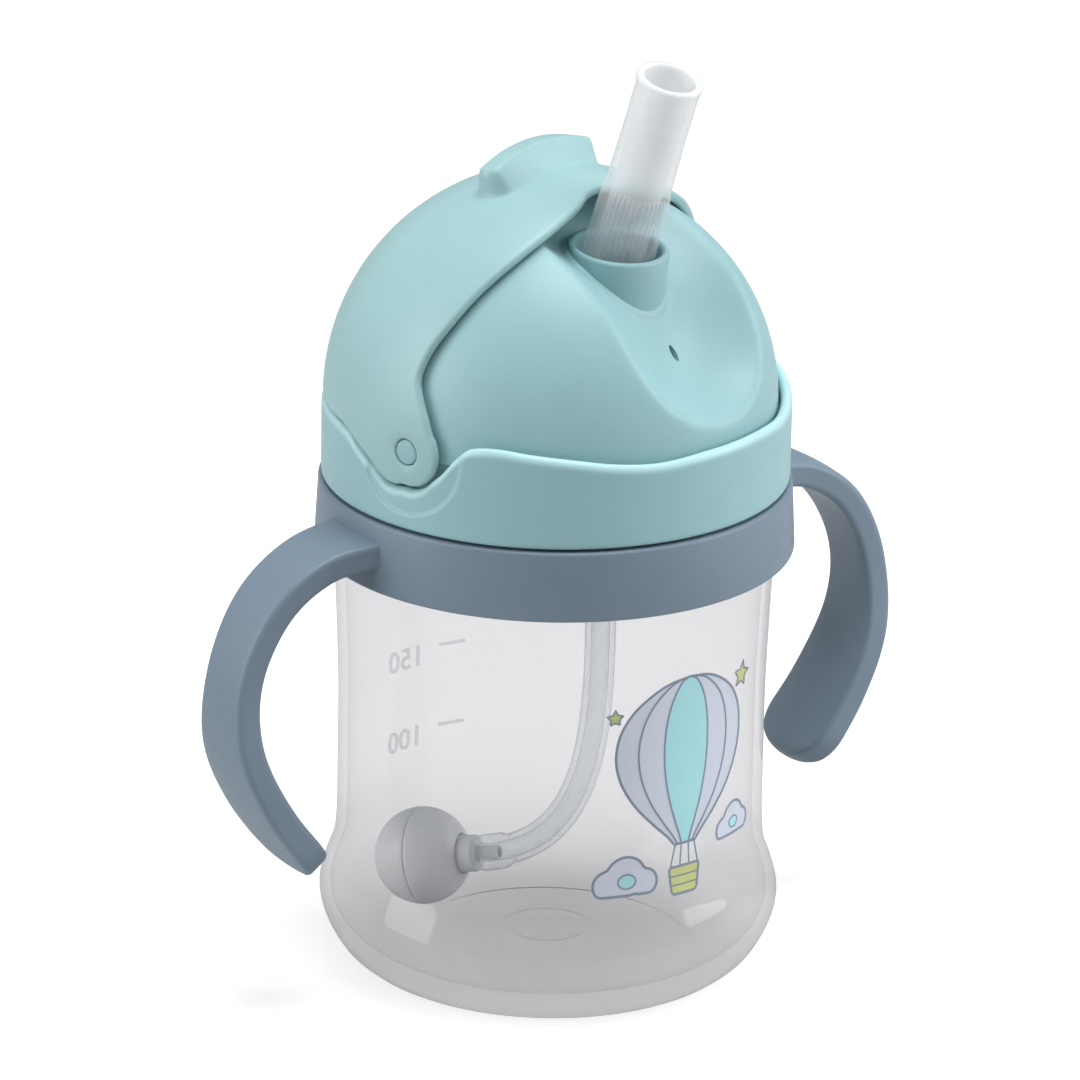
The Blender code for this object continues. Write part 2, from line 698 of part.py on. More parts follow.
def make_ball(centre, stub_direction):
    """Shells, weight and connector on one axis, which points at the tube."""
    on_ball = {
        "parent": place("ball_frame", None), "location": centre,
        "rotation": stub_direction.to_track_quat("Z", "X").to_euler(),
    }
    inner_r = BALL_R - BALL_WALL
    # The first point of each outer arc gives way to the exact edge of the hole
    front = [
        (BALL_FRONT_HOLE_R, math.sqrt(BALL_R**2 - BALL_FRONT_HOLE_R**2)),
        *arc(BALL_R, 65.3, 1.6, 5)[1:], *arc(inner_r, 1.9, 60.7, 4),
    ]
    rear = [
        (BALL_REAR_HOLE_R, -math.sqrt(BALL_R**2 - BALL_REAR_HOLE_R**2)),
        *arc(BALL_R, -78.3, -0.6, 6)[1:], *arc(inner_r, -0.7, -76.2, 5),
    ]
    weight = [(1.7, -3.6), (4.6, -3.6), (5.2, -3.0), (5.2, 2.4), (4.6, 3.0), (1.7, 3.0)]
    connector = [
        (NIPPLE_BORE_R, 3.3), (4.2, 3.3), (4.2, 4.6), (3.0, 4.9), (3.0, 9.4), (2.7, 9.8),
        (NIPPLE_R, 9.8), (NIPPLE_R, 13.6), (NIPPLE_BORE_R, 13.6),
    ]
    part("ball_shell_front", turned(front, 24), BALL_PLASTIC, **on_ball)
    part("ball_shell_rear", turned(rear, 24), BALL_PLASTIC, **on_ball)
    part("ball_weight", turned(weight, 20), STEEL, **on_ball)
    part("ball_connector", turned(connector, 16), BALL_PLASTIC, **on_ball)


def make_straw_tube(connector_at, ball_centre, stub_direction):
    """A Bezier curve from the lid's connector to the ball's."""
    down = -lid_direction(SOCKET_TILT)
    turn_lid = Matrix.Rotation(math.radians(LID_TURN), 3, "Z")
    top = turn_lid @ (connector_at + down * TUBE_TOP_OFFSET)
    top_handle = top + (turn_lid @ down) * TUBE_TOP_ARM
    foot = ball_centre + stub_direction * TUBE_FOOT_OFFSET
    foot_handle = foot + stub_direction * TUBE_FOOT_ARM
    path = []
    for k in range(TUBE_POINTS):
        t = k / (TUBE_POINTS - 1)
        s = 1 - t
        path.append(
            top * s**3 + top_handle * 3 * t * s**2 + foot_handle * 3 * t * t * s + foot * t**3
        )
    outer, inner = [TUBE_R] * TUBE_POINTS, [TUBE_BORE_R] * TUBE_POINTS
    part("straw_tube", tube_along(path, outer, inner, 12, Vector((0.2, -0.3, 0))), SILICONE)


def make_cup():
    make_bottle()
    make_handle_ring()

    lid = place("lid_frame", None, rotation=(0, 0, math.radians(LID_TURN)))
    make_collar(lid)
    dome = make_dome(lid)
    hood = make_hood(lid)
    make_pins(lid, hood, dome)
    make_seal()
    make_vent_valve(lid)

    make_straw(lid)
    connector_at = lid_point(*STRAW_FOLD) - lid_direction(SOCKET_TILT) * CONNECTOR_DROP
    make_tube_connector(lid, connector_at)

    outward = Vector((*polar(1, BALL_AZIMUTH), 0))
    ball_centre = outward * BALL_AXIS_DISTANCE + Vector((0, 0, BALL_Z))
    inward_share, up_share = polar(1, BALL_STUB_RISE)
    stub_direction = -outward * inward_share + Vector((0, 0, up_share))
    make_ball(ball_centre, stub_direction)
    make_straw_tube(connector_at, ball_centre, stub_direction)


make_cup()
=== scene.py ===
"""A straw cup: clear bottle, two handles, screw lid, hood, straw and a weighted ball on a tube.

The bottle stands on Z = 0 with its axis on Z. The handles reach out along +X and -X.
Lid parts are built with the drinking side towards -Y and then turned about Z by LID_DEGREES.
Shapes are worked out in millimetres and become metres when a mesh is made.
"""

import math
from contextlib import contextmanager

import bmesh
import bpy
import numpy as np
from mathutils import Matrix, Vector
from mathutils.geometry import delaunay_2d_cdt


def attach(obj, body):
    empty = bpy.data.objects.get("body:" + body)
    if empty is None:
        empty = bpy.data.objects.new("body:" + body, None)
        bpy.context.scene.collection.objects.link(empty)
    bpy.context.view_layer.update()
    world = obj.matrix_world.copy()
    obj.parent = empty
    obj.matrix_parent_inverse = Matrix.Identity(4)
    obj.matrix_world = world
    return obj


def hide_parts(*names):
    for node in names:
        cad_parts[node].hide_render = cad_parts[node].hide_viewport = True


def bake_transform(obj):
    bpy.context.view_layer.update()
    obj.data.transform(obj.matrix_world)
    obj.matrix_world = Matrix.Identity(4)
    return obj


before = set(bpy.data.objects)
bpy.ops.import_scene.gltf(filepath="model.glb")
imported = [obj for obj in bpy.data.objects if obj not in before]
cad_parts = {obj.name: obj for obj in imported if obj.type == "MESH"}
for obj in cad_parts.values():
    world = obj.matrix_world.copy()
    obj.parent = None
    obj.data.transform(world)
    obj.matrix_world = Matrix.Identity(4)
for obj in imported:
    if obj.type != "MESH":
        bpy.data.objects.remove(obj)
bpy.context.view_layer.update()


def detail(full, coarse):
    """A count or step for the full build. The coarse value, for a quick build, is not used."""
    return full


def leaning(angle):
    """The unit direction leaning from +Z towards -Y by an angle."""
    return np.array([0.0, -math.sin(angle), math.cos(angle)])


# ---------------------------------------------------------------- driving sizes, in millimetres
MM = 0.001
LID_DEGREES = 18.2
LID_TURN = math.radians(LID_DEGREES)
PIVOT_Z = 94.0  # the hood's hinge line, and the centre of dome and hood
HOOD_RADIUS, HOOD_INNER = 36.8, 35.2
DOME_RADIUS, DOME_WALL = 34.8, 1.7
COLLAR_RADIUS = 37.0
EAR_RADIUS = 5.7
THREAD_Z, THREAD_PITCH = 84.4, 4.0
SOCKET_TILT = math.radians(6.0)
STRAW_TILT = math.radians(17.5)
LOWER_AXIS, UPPER_AXIS = leaning(SOCKET_TILT), leaning(STRAW_TILT)
SOCKET_TOP = np.array([0.0, -11.85, 121.3])
FOLD = np.array([0.0, -11.75, 120.0])  # where the straw bends


# ---------------------------------------------------------------- mesh helpers
def turn_with_lid(points):
    points = np.asarray(points, float)
    x, y, z = points[..., 0], points[..., 1], points[..., 2]
    c, s = math.cos(LID_TURN), math.sin(LID_TURN)
    return np.stack([x * c - y * s, x * s + y * c, z], -1)


@contextmanager
def editing(mesh):
    """The mesh as a bmesh, written back at the end."""
    bm = bmesh.new()
    bm.from_mesh(mesh)
    yield bm
    bm.to_mesh(mesh)
    bm.free()


def add_object(name, data):
    ob = bpy.data.objects.new(name, data)
    bpy.context.scene.collection.objects.link(ob)
    return ob


def evaluated_mesh(ob):
    bpy.context.view_layer.update()
    depsgraph = bpy.context.evaluated_depsgraph_get()
    return bpy.data.meshes.new_from_object(ob.evaluated_get(depsgraph), depsgraph=depsgraph)


def weld(bm):
    bmesh.ops.remove_doubles(bm, verts=bm.verts, dist=1.5e-6)


def solid(name, points, faces, lid=False, welded=True):
    """A mesh object from points in millimetres, its faces turned to face out."""
    points = turn_with_lid(points) if lid else np.asarray(points, float)
    mesh = bpy.data.meshes.new(name)
    mesh.from_pydata((points * MM).tolist(), [], [tuple(int(i) for i in f) for f in faces])
    with editing(mesh) as bm:
        if welded:
            weld(bm)
        bmesh.ops.recalc_face_normals(bm, faces=bm.faces)
        if welded and bm.calc_volume(signed=True) < 0:
            bmesh.ops.reverse_faces(bm, faces=bm.faces)
    return add_object(name, mesh)


def finish(ob, material, body, stands_for, sharp):
    ob.data.shade_smooth()
    ob.data.set_sharp_from_angle(angle=math.radians(sharp))
    ob.data.materials.clear()
    ob.data.materials.append(material)
    if body:
        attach(ob, body)
    if stands_for:
        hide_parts(*stands_for)


def boolean(ob, tool, operation):
    """Joins the tool to the object or cuts it away, and removes the tool."""
    modifier = ob.modifiers.new("cut", "BOOLEAN")
    modifier.operation, modifier.solver, modifier.object = operation, "EXACT", tool
    mesh = evaluated_mesh(ob)
    ob.modifiers.clear()
    ob.data = mesh
    bpy.data.objects.remove(tool)
    with editing(mesh) as bm:
        weld(bm)
        bmesh.ops.triangulate(bm, faces=[f for f in bm.faces if len(f.verts) > 4])


def paint(ob, name, value_at):
    """A float attribute on the points, worked out from each point's place in metres."""
    layer = ob.data.attributes.new(name, "FLOAT", "POINT")
    for i, vertex in enumerate(ob.data.vertices):
        layer.data[i].value = value_at(vertex.co)


def unit(rows):
    return rows / np.linalg.norm(rows, axis=-1)[..., None]


def full_turn(count):
    return np.linspace(0, 2 * math.pi, count, endpoint=False)


def smoothstep(t):
    t = np.clip(t, 0, 1)
    return t * t * (3 - 2 * t)


def spline(points, steps, closed=False):
    """A Catmull-Rom curve through the points."""
    p = [np.asarray(q, float) for q in points]
    if closed:
        p = [p[-1]] + p + [p[0], p[1]]
    else:
        p = [2 * p[0] - p[1]] + p + [2 * p[-1] - p[-2]]
    out = []
    for i in range(1, len(p) - 2):
        a, b, c, d = p[i - 1 : i + 3]
        linear, square, cube = c - a, 2 * a - 5 * b + 4 * c - d, 3 * b - a - 3 * c + d
        for k in range(steps):
            t = k / steps
            out.append(0.5 * (2 * b + linear * t + square * t * t + cube * t**3))
    if not closed:
        out.append(p[-2])
    return np.array(out)


def arc_length(line):
    return np.concatenate([[0], np.cumsum(np.linalg.norm(np.diff(line, axis=0), axis=1))])


def resample(line, step, closed=False):
    """The line with its points evenly spaced, about one step apart."""
    line = np.vstack([line, line[:1]]) if closed else np.asarray(line, float)
    run = arc_length(line)
    count = max(int(round(run[-1] / step)), 3)
    even = np.linspace(0, run[-1], count + 1)
    out = np.stack([np.interp(even, run, line[:, k]) for k in range(line.shape[1])], -1)
    return out[:-1] if closed else out


def inside(outline, points):
    """Which flat points lie inside a closed outline."""
    x, y = points[:, 0], points[:, 1]
    hit = np.zeros(len(points), bool)
    for i in range(len(outline)):
        xi, yi, xj, yj = *outline[i], *outline[i - 1]
        hit ^= ((yi > y) != (yj > y)) & (x < (xj - xi) * (y - yi) / (yj - yi + 1e-12) + xi)
    return hit


def bridge(loops):
    """Quads between each closed loop of point numbers and the next."""
    faces = []
    for a, b in zip(loops, loops[1:]):
        for i in range(len(a)):
            j = (i + 1) % len(a)
            faces.append((a[i], a[j], b[j], b[i]))
    return faces


def ring_faces(count, sides, closed=False):
    """Quads along a run of rings, joined end to start when closed."""
    loops = [range(i * sides, (i + 1) * sides) for i in range(count)]
    return bridge(loops + loops[:1] if closed else loops)


def end_caps(count, sides):
    last = (count - 1) * sides
    return [tuple(range(sides)), tuple(reversed(range(last, last + sides)))]


def skin_rings(name, rings, lid=False):
    """A solid through a run of rings, with both ends capped."""
    shape = len(rings), len(rings[0])
    return solid(name, np.vstack(rings), ring_faces(*shape) + end_caps(*shape), lid)


def transformed(points, matrix):
    m = np.array(matrix)
    return points @ m[:3, :3].T + m[:3, 3]


def lathe(name, profile, sides, matrix=None, lid=False):
    """A profile of (radius, height) spun about Z. It closes on the axis or on its first point."""
    rows = [tuple(p) for p in profile]
    if rows[0][0] > 1e-6 or rows[-1][0] > 1e-6:
        rows.append(rows[0])
    a = full_turn(sides)
    rings = [np.stack([r * np.cos(a), r * np.sin(a), np.full(sides, z)], -1) for r, z in rows]
    points = np.concatenate(rings)
    if matrix is not None:
        points = transformed(points, matrix)
    return solid(name, points, ring_faces(len(rows), sides), lid)


def rounded(profile, radii, steps=5):
    """A closed (radius, height) profile with its corners rounded, one radius per corner."""
    out = []
    for i, (corner, radius) in enumerate(zip(profile, radii)):
        corner = np.array(corner, float)
        if radius <= 0:
            out.append(tuple(corner))
            continue
        back = np.array(profile[i - 1], float) - corner
        ahead = np.array(profile[(i + 1) % len(profile)], float) - corner
        back_length, ahead_length = np.linalg.norm(back), np.linalg.norm(ahead)
        back, ahead = back / back_length, ahead / ahead_length
        half = math.acos(max(-1, min(1, back @ ahead))) / 2
        cut = min(radius / math.tan(half), back_length * 0.49, ahead_length * 0.49)
        fitted = cut * math.tan(half)
        middle = (back + ahead) / np.linalg.norm(back + ahead)
        centre = corner + middle * (fitted / math.sin(half))
        start, end = corner + back * cut - centre, corner + ahead * cut - centre
        swing = math.pi - 2 * half
        s = math.sin(swing)
        for k in range(steps + 1):
            t = k / steps
            if s > 1e-4:
                mix = math.sin((1 - t) * swing) * start + math.sin(t * swing) * end
                out.append(tuple(centre + mix / s))
            else:
                out.append(tuple(corner))
    return out


def tube(name, path, outer, inner, sides, reference, lid=False, relief=None):
    """A hollow tube with a radius per path point. relief(i, angles) adds to the outer radius."""
    path = np.asarray(path, float)
    tangents = unit(np.gradient(path, axis=0))
    a = full_turn(sides)
    out_and_back = [(outer, i, True) for i in range(len(path))]
    out_and_back += [(inner, i, False) for i in reversed(range(len(path)))]
    rings = []
    for radii, i, is_outer in out_and_back:
        u = reference - tangents[i] * (reference @ tangents[i])
        u /= np.linalg.norm(u)
        w = np.cross(tangents[i], u)
        r = np.full(sides, radii[i], float)
        if relief is not None and is_outer:
            r = r + relief(i, a)
        rings.append(path[i] + r[:, None] * (np.cos(a)[:, None] * u + np.sin(a)[:, None] * w))
    rings.append(rings[0])
    return solid(name, np.vstack(rings), ring_faces(len(rings), sides), lid)


# ---------------------------------------------------------------- shader helpers
class Nodes:
    """The emptied node tree of a material or world, with short calls that fill it."""

    def __init__(self, owner):
        owner.use_nodes = True
        self.tree = owner.node_tree
        self.tree.nodes.clear()

    def add(self, kind, inputs=None, **settings):
        """A new node. An input given a node or a socket is linked, any other is set.

        Settings come first, since they decide which sockets a node offers.
        """
        node = self.tree.nodes.new("ShaderNode" + kind)
        for key, value in settings.items():
            setattr(node, key, value)
        for key, value in (inputs or {}).items():
            if isinstance(value, bpy.types.Node):
                value = value.outputs[0]
            if isinstance(value, bpy.types.NodeSocket):
                self.tree.links.new(value, node.inputs[key])
            else:
                node.inputs[key].default_value = value
        return node

    def noise(self, scale, detail, rough, stretch=(1.0, 1.0, 1.0)):
        place = self.add("TexCoord").outputs["Object"]
        mapped = self.add("Mapping", {"Vector": place, "Scale": stretch})
        inputs = {"Vector": mapped, "Scale": scale, "Detail": detail, "Roughness": rough}
        return self.add("TexNoise", inputs).outputs["Fac"]

    def ramp(self, factor, *stops):
        """A colour ramp. Each stop is (position, colour), where one number is a grey."""
        node = self.add("ValToRGB", {"Fac": factor})
        elements = node.color_ramp.elements
        stops = [(at, (c, c, c) if np.isscalar(c) else c) for at, c in stops]
        for element, (at, colour) in ((elements[0], stops[0]), (elements[1], stops[-1])):
            element.position, element.color = at, (*colour, 1)
        for at, colour in stops[1:-1]:
            elements.new(at).color = (*colour, 1)
        return node.outputs["Color"]

    def math(self, operation, *values):
        return self.add("Math", dict(enumerate(values)), operation=operation).outputs["Value"]

    def mix(self, factor, a, b, blend="MIX"):
        inputs = {"Factor": factor, "A": a, "B": b}
        return self.add("Mix", inputs, data_type="RGBA", blend_type=blend).outputs["Result"]

    def mix_shader(self, factor, first, second):
        return self.add("MixShader", {"Fac": factor, 1: first, 2: second})

    def map_range(self, value, source, target, **settings):
        inputs = {"Value": value, "From Min": source[0], "From Max": source[1]}
        inputs.update({"To Min": target[0], "To Max": target[1]})
        return self.add("MapRange", inputs, **settings).outputs["Result"]

    def bump(self, height, strength, distance):
        inputs = {"Height": height, "Strength": strength, "Distance": distance}
        return self.add("Bump", inputs).outputs["Normal"]

    def attribute(self, name):
        return self.add("Attribute", attribute_name=name).outputs["Fac"]

    def facing(self):
        return self.add("LayerWeight", {"Blend": 0.5}).outputs["Facing"]

    def ray(self, kind):
        return self.add("LightPath").outputs[f"Is {kind} Ray"]


def new_material(name, viewport=None):
    material = bpy.data.materials.new(name)
    if viewport:
        material.diffuse_color = viewport
    return material, Nodes(material)


# ---------------------------------------------------------------- materials
def moulded(name, colour, rough, grain=0.12, grain_scale=2600.0, tone=0.045, sss=0.0,
            metallic=0.0, film=0.0):
    """Moulded plastic: fine grain, slow tone drift, faint scuffs and specks.

    `tone` is the share the colour drifts by, `film` the share of light passing a thin print.
    """
    material, nodes = new_material(name, viewport=(*colour, 1))
    colour = np.array(colour)
    drift = nodes.noise(scale=38.0, detail=3.0, rough=0.55)
    base = nodes.ramp(
        drift, (0.3, colour * (1 - tone)), (0.7, np.minimum(colour * (1 + tone), 1)))
    specks = nodes.noise(scale=5200.0, detail=1.0, rough=0.4)
    specks = nodes.ramp(specks, (0.3, 0.975), (0.5, 1.0), (0.72, 1.015))
    # a painted highlight on the collar's thin lip, where its top faces the light; other meshes have
    # no such attribute
    lip_highlight_colour = np.minimum(colour * np.array((1.55, 1.42, 1.38)), 1)
    base = nodes.mix(nodes.attribute("lip"), base, (*lip_highlight_colour, 1))
    base = nodes.mix(1.0, base, specks, blend="MULTIPLY")
    scuffs = nodes.noise(scale=160.0, detail=5.0, rough=0.7, stretch=(1.0, 1.0, 4.5))
    scuffs = nodes.ramp(scuffs, (0.35, rough - 0.05), (0.6, rough), (0.8, min(rough + 0.09, 1)))
    fine = nodes.noise(scale=grain_scale, detail=2.0, rough=0.6)
    slow = nodes.noise(scale=90.0, detail=1.0, rough=0.4)
    height = nodes.math("MULTIPLY_ADD", slow, 3.0, fine)
    inputs = {
        "Base Color": base,
        "Roughness": scuffs,
        "Normal": nodes.bump(height, strength=grain, distance=0.00005),
        "Specular IOR Level": 0.42,
        "Metallic": metallic,
        "Coat Roughness": 0.25,
    }
    if sss:
        inputs.update({
            "Subsurface Weight": sss,
            "Subsurface Radius": (0.6, 0.8, 0.8),
            "Subsurface Scale": 0.002,
        })
    surface = nodes.add("BsdfPrincipled", inputs)
    if film:
        through_colour = (*np.minimum(colour * 1.25, 1), 1)
        through = nodes.add("BsdfTranslucent", {"Color": through_colour})
        surface = nodes.mix_shader(film, surface, through)
        # the plate has two faces, so light meant for the far one passes the near one
        passing = nodes.add("BsdfTransparent", {"Color": (0.9, 0.9, 0.9, 1)})
        surface = nodes.mix_shader(nodes.ray("Shadow"), surface, passing)
    nodes.add("OutputMaterial", {"Surface": surface})
    return material


# the bottle's haze thins out between two heights, in metres, from this share at the foot
FOOT_HEIGHTS, FOOT_HAZE = (0.003, 0.018), 0.06


def clear_plastic(name, face_on, edge_on, haze, haze_colour=(0.8, 0.82, 0.84), walled=False):
    """Clear plastic: darker at grazing angles, a Fresnel reflection, flow lines and haze.

    A walled piece takes its tint on its outer skin only, and has more haze at the foot.
    """
    material, nodes = new_material(name, viewport=(0.86, 0.87, 0.88, 0.3))
    facing = nodes.facing()
    flow = nodes.noise(scale=55.0, detail=4.0, rough=0.6, stretch=(1.0, 1.0, 0.35))
    cast = np.array((0.995, 0.99, 1.0))
    tint = nodes.ramp(
        facing,
        (0.0, cast * face_on),
        (0.72, cast * face_on * 0.99),
        (0.93, cast * (face_on + edge_on) / 2),
        (1.0, cast * edge_on),
    )
    fresnel = nodes.math("MULTIPLY_ADD", nodes.math("POWER", facing, 5.0), 0.42, 0.03)
    reflecting = 1.0
    if walled:
        skin = nodes.attribute("skin")
        tint = nodes.mix(skin, (0.995, 0.995, 0.995, 1), tint)
        tint = nodes.mix(nodes.ray("Shadow"), tint, (0.97, 0.97, 0.97, 1))
        reflecting = nodes.math("MULTIPLY_ADD", skin, 0.6, 0.4)
        place = nodes.add("TexCoord").outputs["Object"]
        height = nodes.add("SeparateXYZ", {"Vector": place}).outputs["Z"]
        haze = nodes.map_range(
            height, FOOT_HEIGHTS, (FOOT_HAZE, haze), interpolation_type="SMOOTHSTEP")
    clear = nodes.add("BsdfTransparent", {"Color": tint})
    gloss = nodes.add("BsdfGlossy", {
        "Roughness": nodes.ramp(flow, (0.3, 0.03), (0.8, 0.11)),
        "Normal": nodes.bump(flow, strength=0.12, distance=0.0004),
    })
    surface = nodes.mix_shader(nodes.math("MULTIPLY", fresnel, reflecting), clear, gloss)
    milk = nodes.add("BsdfDiffuse", {"Color": (*haze_colour, 1)})
    nodes.add("OutputMaterial", {"Surface": nodes.mix_shader(haze, surface, milk)})
    return material


def silicone(name, colour, see_through, rim=0.62, varies=False):
    """Frosted silicone, part see-through, its base colour darkened to `rim` seen edge on: a painted
    shade along the outline.

    When it varies, the "thin" attribute lets more light straight through.
    """
    rough = 0.34
    material, nodes = new_material(name, viewport=(*colour, 0.85))
    colour = np.array(colour)
    cloud = nodes.noise(scale=140.0, detail=4.0, rough=0.6)
    base = nodes.ramp(cloud, (0.3, colour * 0.965), (0.72, np.minimum(colour * 1.02, 1)))
    facing = nodes.facing()
    # painted shade: the base colour darkens towards the outline, down to rim seen edge on
    edge = nodes.ramp(facing, (0.0, 1.0), (0.45, 0.97), (0.8, (1 + rim) / 2), (1.0, rim))
    fine = nodes.noise(scale=1900.0, detail=2.0, rough=0.6)
    body = nodes.add("BsdfPrincipled", {
        "Base Color": nodes.mix(1.0, base, edge, blend="MULTIPLY"),
        "Roughness": nodes.ramp(cloud, (0.3, rough - 0.05), (0.75, rough + 0.08)),
        "Subsurface Weight": 0.2,
        "Subsurface Radius": (1.0, 1.0, 1.0),
        "Subsurface Scale": 0.0015,
        "IOR": 1.41,
        "Normal": nodes.bump(fine, strength=0.18, distance=0.00004),
    })
    clear = nodes.add("BsdfTransparent", {"Color": (0.975, 0.985, 0.99, 1)})
    opacity = nodes.ramp(
        facing, (0.0, 1 - see_through), (0.6, 1 - see_through * 0.85), (1.0, 1.0))
    if varies:
        kept = nodes.math("MULTIPLY_ADD", nodes.attribute("thin"), -0.62, 1.0)
        opacity = nodes.math("MULTIPLY", opacity, kept)
    nodes.add("OutputMaterial", {"Surface": nodes.mix_shader(opacity, clear, body)})
    return material


MINT = moulded("mint_satin", (0.285, 0.485, 0.515), rough=0.43)
MINT_HOOD = moulded("mint_hood_satin", (0.312, 0.507, 0.524), rough=0.42)
SLATE = moulded("slate_satin", (0.17, 0.228, 0.29), rough=0.46, grain=0.3, tone=0.06)
BALL = moulded("ball_grey", (0.93, 0.945, 0.96), rough=0.32, grain=0.08, tone=0.02, sss=0.2)
STEEL = moulded(
    "turned_steel", (0.55, 0.56, 0.57), rough=0.3, grain=0.3, grain_scale=4000, metallic=1.0)
SEAL = moulded("seal_silicone", (0.8, 0.82, 0.83), rough=0.55, grain=0.2, sss=0.2)
CLEAR = clear_plastic("clear_bottle", face_on=0.805, edge_on=0.74, haze=0.018, walled=True)
MARK = clear_plastic(
    "moulded_marks", face_on=0.95, edge_on=0.72, haze=0.07, haze_colour=(0.6, 0.61, 0.63))
STRAW = silicone("straw_silicone", (0.95, 0.96, 0.97), see_through=0.5, varies=True)
TUBE = silicone("tube_silicone", (0.985, 0.99, 0.99), see_through=0.93, rim=0.97)
VALVE = silicone("valve_silicone", (0.85, 0.86, 0.87), see_through=0.1)


def ink(name, colour, tone, film):
    return moulded(name, colour, rough=0.5, grain=0.4, tone=tone, film=film)


INK_PALE = ink("ink_pale", (0.66, 0.69, 0.76), tone=0.03, film=0.3)
INK_LINE = ink("ink_line", (0.25, 0.30, 0.38), tone=0.05, film=0.15)
INK_MINT = ink("ink_mint", (0.46, 0.73, 0.75), tone=0.03, film=0.3)
INK_LIME = ink("ink_lime", (0.62, 0.65, 0.31), tone=0.03, film=0.3)

# ---------------------------------------------------------------- bottle
# profiles are (radius, height)
BOTTLE_UNDERSIDE = [
    (0.0, 0.9), (21.8, 0.9), (22.8, 0.75), (23.6, 0.25), (24.0, 0.02), (24.3, 0.0), (28.2, 0.0),
    (29.0, 0.06), (30.0, 0.35),
]
OUTER_WALL = spline([
    (31.0, 0.9), (33.6, 3.2), (35.9, 7.4), (36.7, 11.4), (35.8, 15.4), (34.5, 19.2),
    (34.05, 24.5), (34.0, 34.0), (34.0, 46.0), (34.4, 58.0), (34.9, 68.8),
], 9)
OUTER_WALL[:, 1] = np.maximum(OUTER_WALL[:, 1], 0.3)
BOTTLE_NECK = [
    (34.9, 70.6), (34.8, 71.1), (34.5, 71.4), (32.2, 71.4), (31.8, 71.6), (31.7, 72.0),
    (31.7, 90.8), (31.58, 91.08), (31.3, 91.2), (30.6, 91.2), (30.3, 91.1), (30.2, 90.8),
    (30.2, 71.9), (30.6, 71.2), (31.9, 70.4), (33.0, 69.6),
]
INNER_WALL = spline([
    (33.3, 68.4), (32.8, 58.0), (32.4, 46.0), (32.4, 34.0), (32.45, 24.5), (32.9, 19.2),
    (34.2, 15.4), (34.95, 11.4), (33.7, 7.7), (30.4, 4.75), (26.0, 3.3),
], 9)
BOTTLE_FLOOR = [
    (24.0, 3.2), (12.0, 3.2), (7.7, 3.2), (7.35, 3.3), (7.1, 3.62), (6.8, 3.7), (6.4, 3.7),
    (6.1, 3.62), (5.85, 3.3), (5.5, 3.2), (1.2, 3.2), (0.9, 3.05), (0.0, 3.0),
]


def wall_radius(z):
    return float(np.interp(z, OUTER_WALL[:, 1], OUTER_WALL[:, 0]))


def thread(name, root, crest, z, turns, lid=False):
    """A screw ridge from a root radius to a crest radius, tapering at both ends."""
    root_width, crest_width, bevel, bevel_drop = 1.7, 1.0, 0.1, 0.12
    steps = int(detail(110, 40) * turns)
    shoulder_drop = bevel_drop * np.sign(crest - root)
    rings = []
    for k in range(steps + 1):
        a = 2 * math.pi * turns * k / steps
        taper = min(1.0, min(k, steps - k) / (0.08 * steps))
        top = root + (crest - root) * (0.3 + 0.7 * taper)
        mid = z + THREAD_PITCH * a / (2 * math.pi)
        half = crest_width * (0.5 + 0.5 * taper) / 2
        section = [
            (root, mid - root_width / 2),
            (top - shoulder_drop, mid - half - bevel),
            (top, mid - half + bevel),
            (top, mid + half - bevel),
            (top - shoulder_drop, mid + half + bevel),
            (root, mid + root_width / 2),
        ]
        rings.append([(r * math.cos(a), r * math.sin(a), h) for r, h in section])
    return skin_rings(name, rings, lid)


def outer_skin(place):
    """1 on the outer side of the bottle wall, 0 on the inner."""
    x, y, z = (c / MM for c in place)
    middle = 30.95 if z > 71.0 else wall_radius(z) - 0.8
    return 1.0 if (math.hypot(x, y) > middle or z < 2.0) else 0.0


def build_bottle():
    profile = [*BOTTLE_UNDERSIDE, *OUTER_WALL, *BOTTLE_NECK, *INNER_WALL, *BOTTLE_FLOOR]
    bottle = lathe("bottle_clear", profile, detail(208, 96))
    ridge = thread("neck_ridge", root=31.2, crest=32.6, z=THREAD_Z, turns=1.25)
    boolean(bottle, ridge, "UNION")
    paint(bottle, "skin", outer_skin)
    finish(bottle, CLEAR, "bottle", ["bottle"], sharp=50)


# ---------------------------------------------------------------- shapes laid on the bottle wall
# flat shapes are (across, height), across measured towards rising azimuth
PRINT_AZIMUTH = -84.0
# bottom and top of each layer above the wall
FILL_LAYER, MINT_LAYER, LINE_LAYER = (0.02, 0.07), (0.08, 0.11), (0.11, 0.16)
MARK_LAYER = (-0.05, 0.28)


def wrap(points, lift, azimuth):
    """Flat points set on the wall, raised by a lift."""
    out = []
    for across, z in points:
        a = math.radians(azimuth) + across / 34.0
        r = wall_radius(z) + lift
        out.append((r * math.cos(a), r * math.sin(a), z))
    return np.array(out)


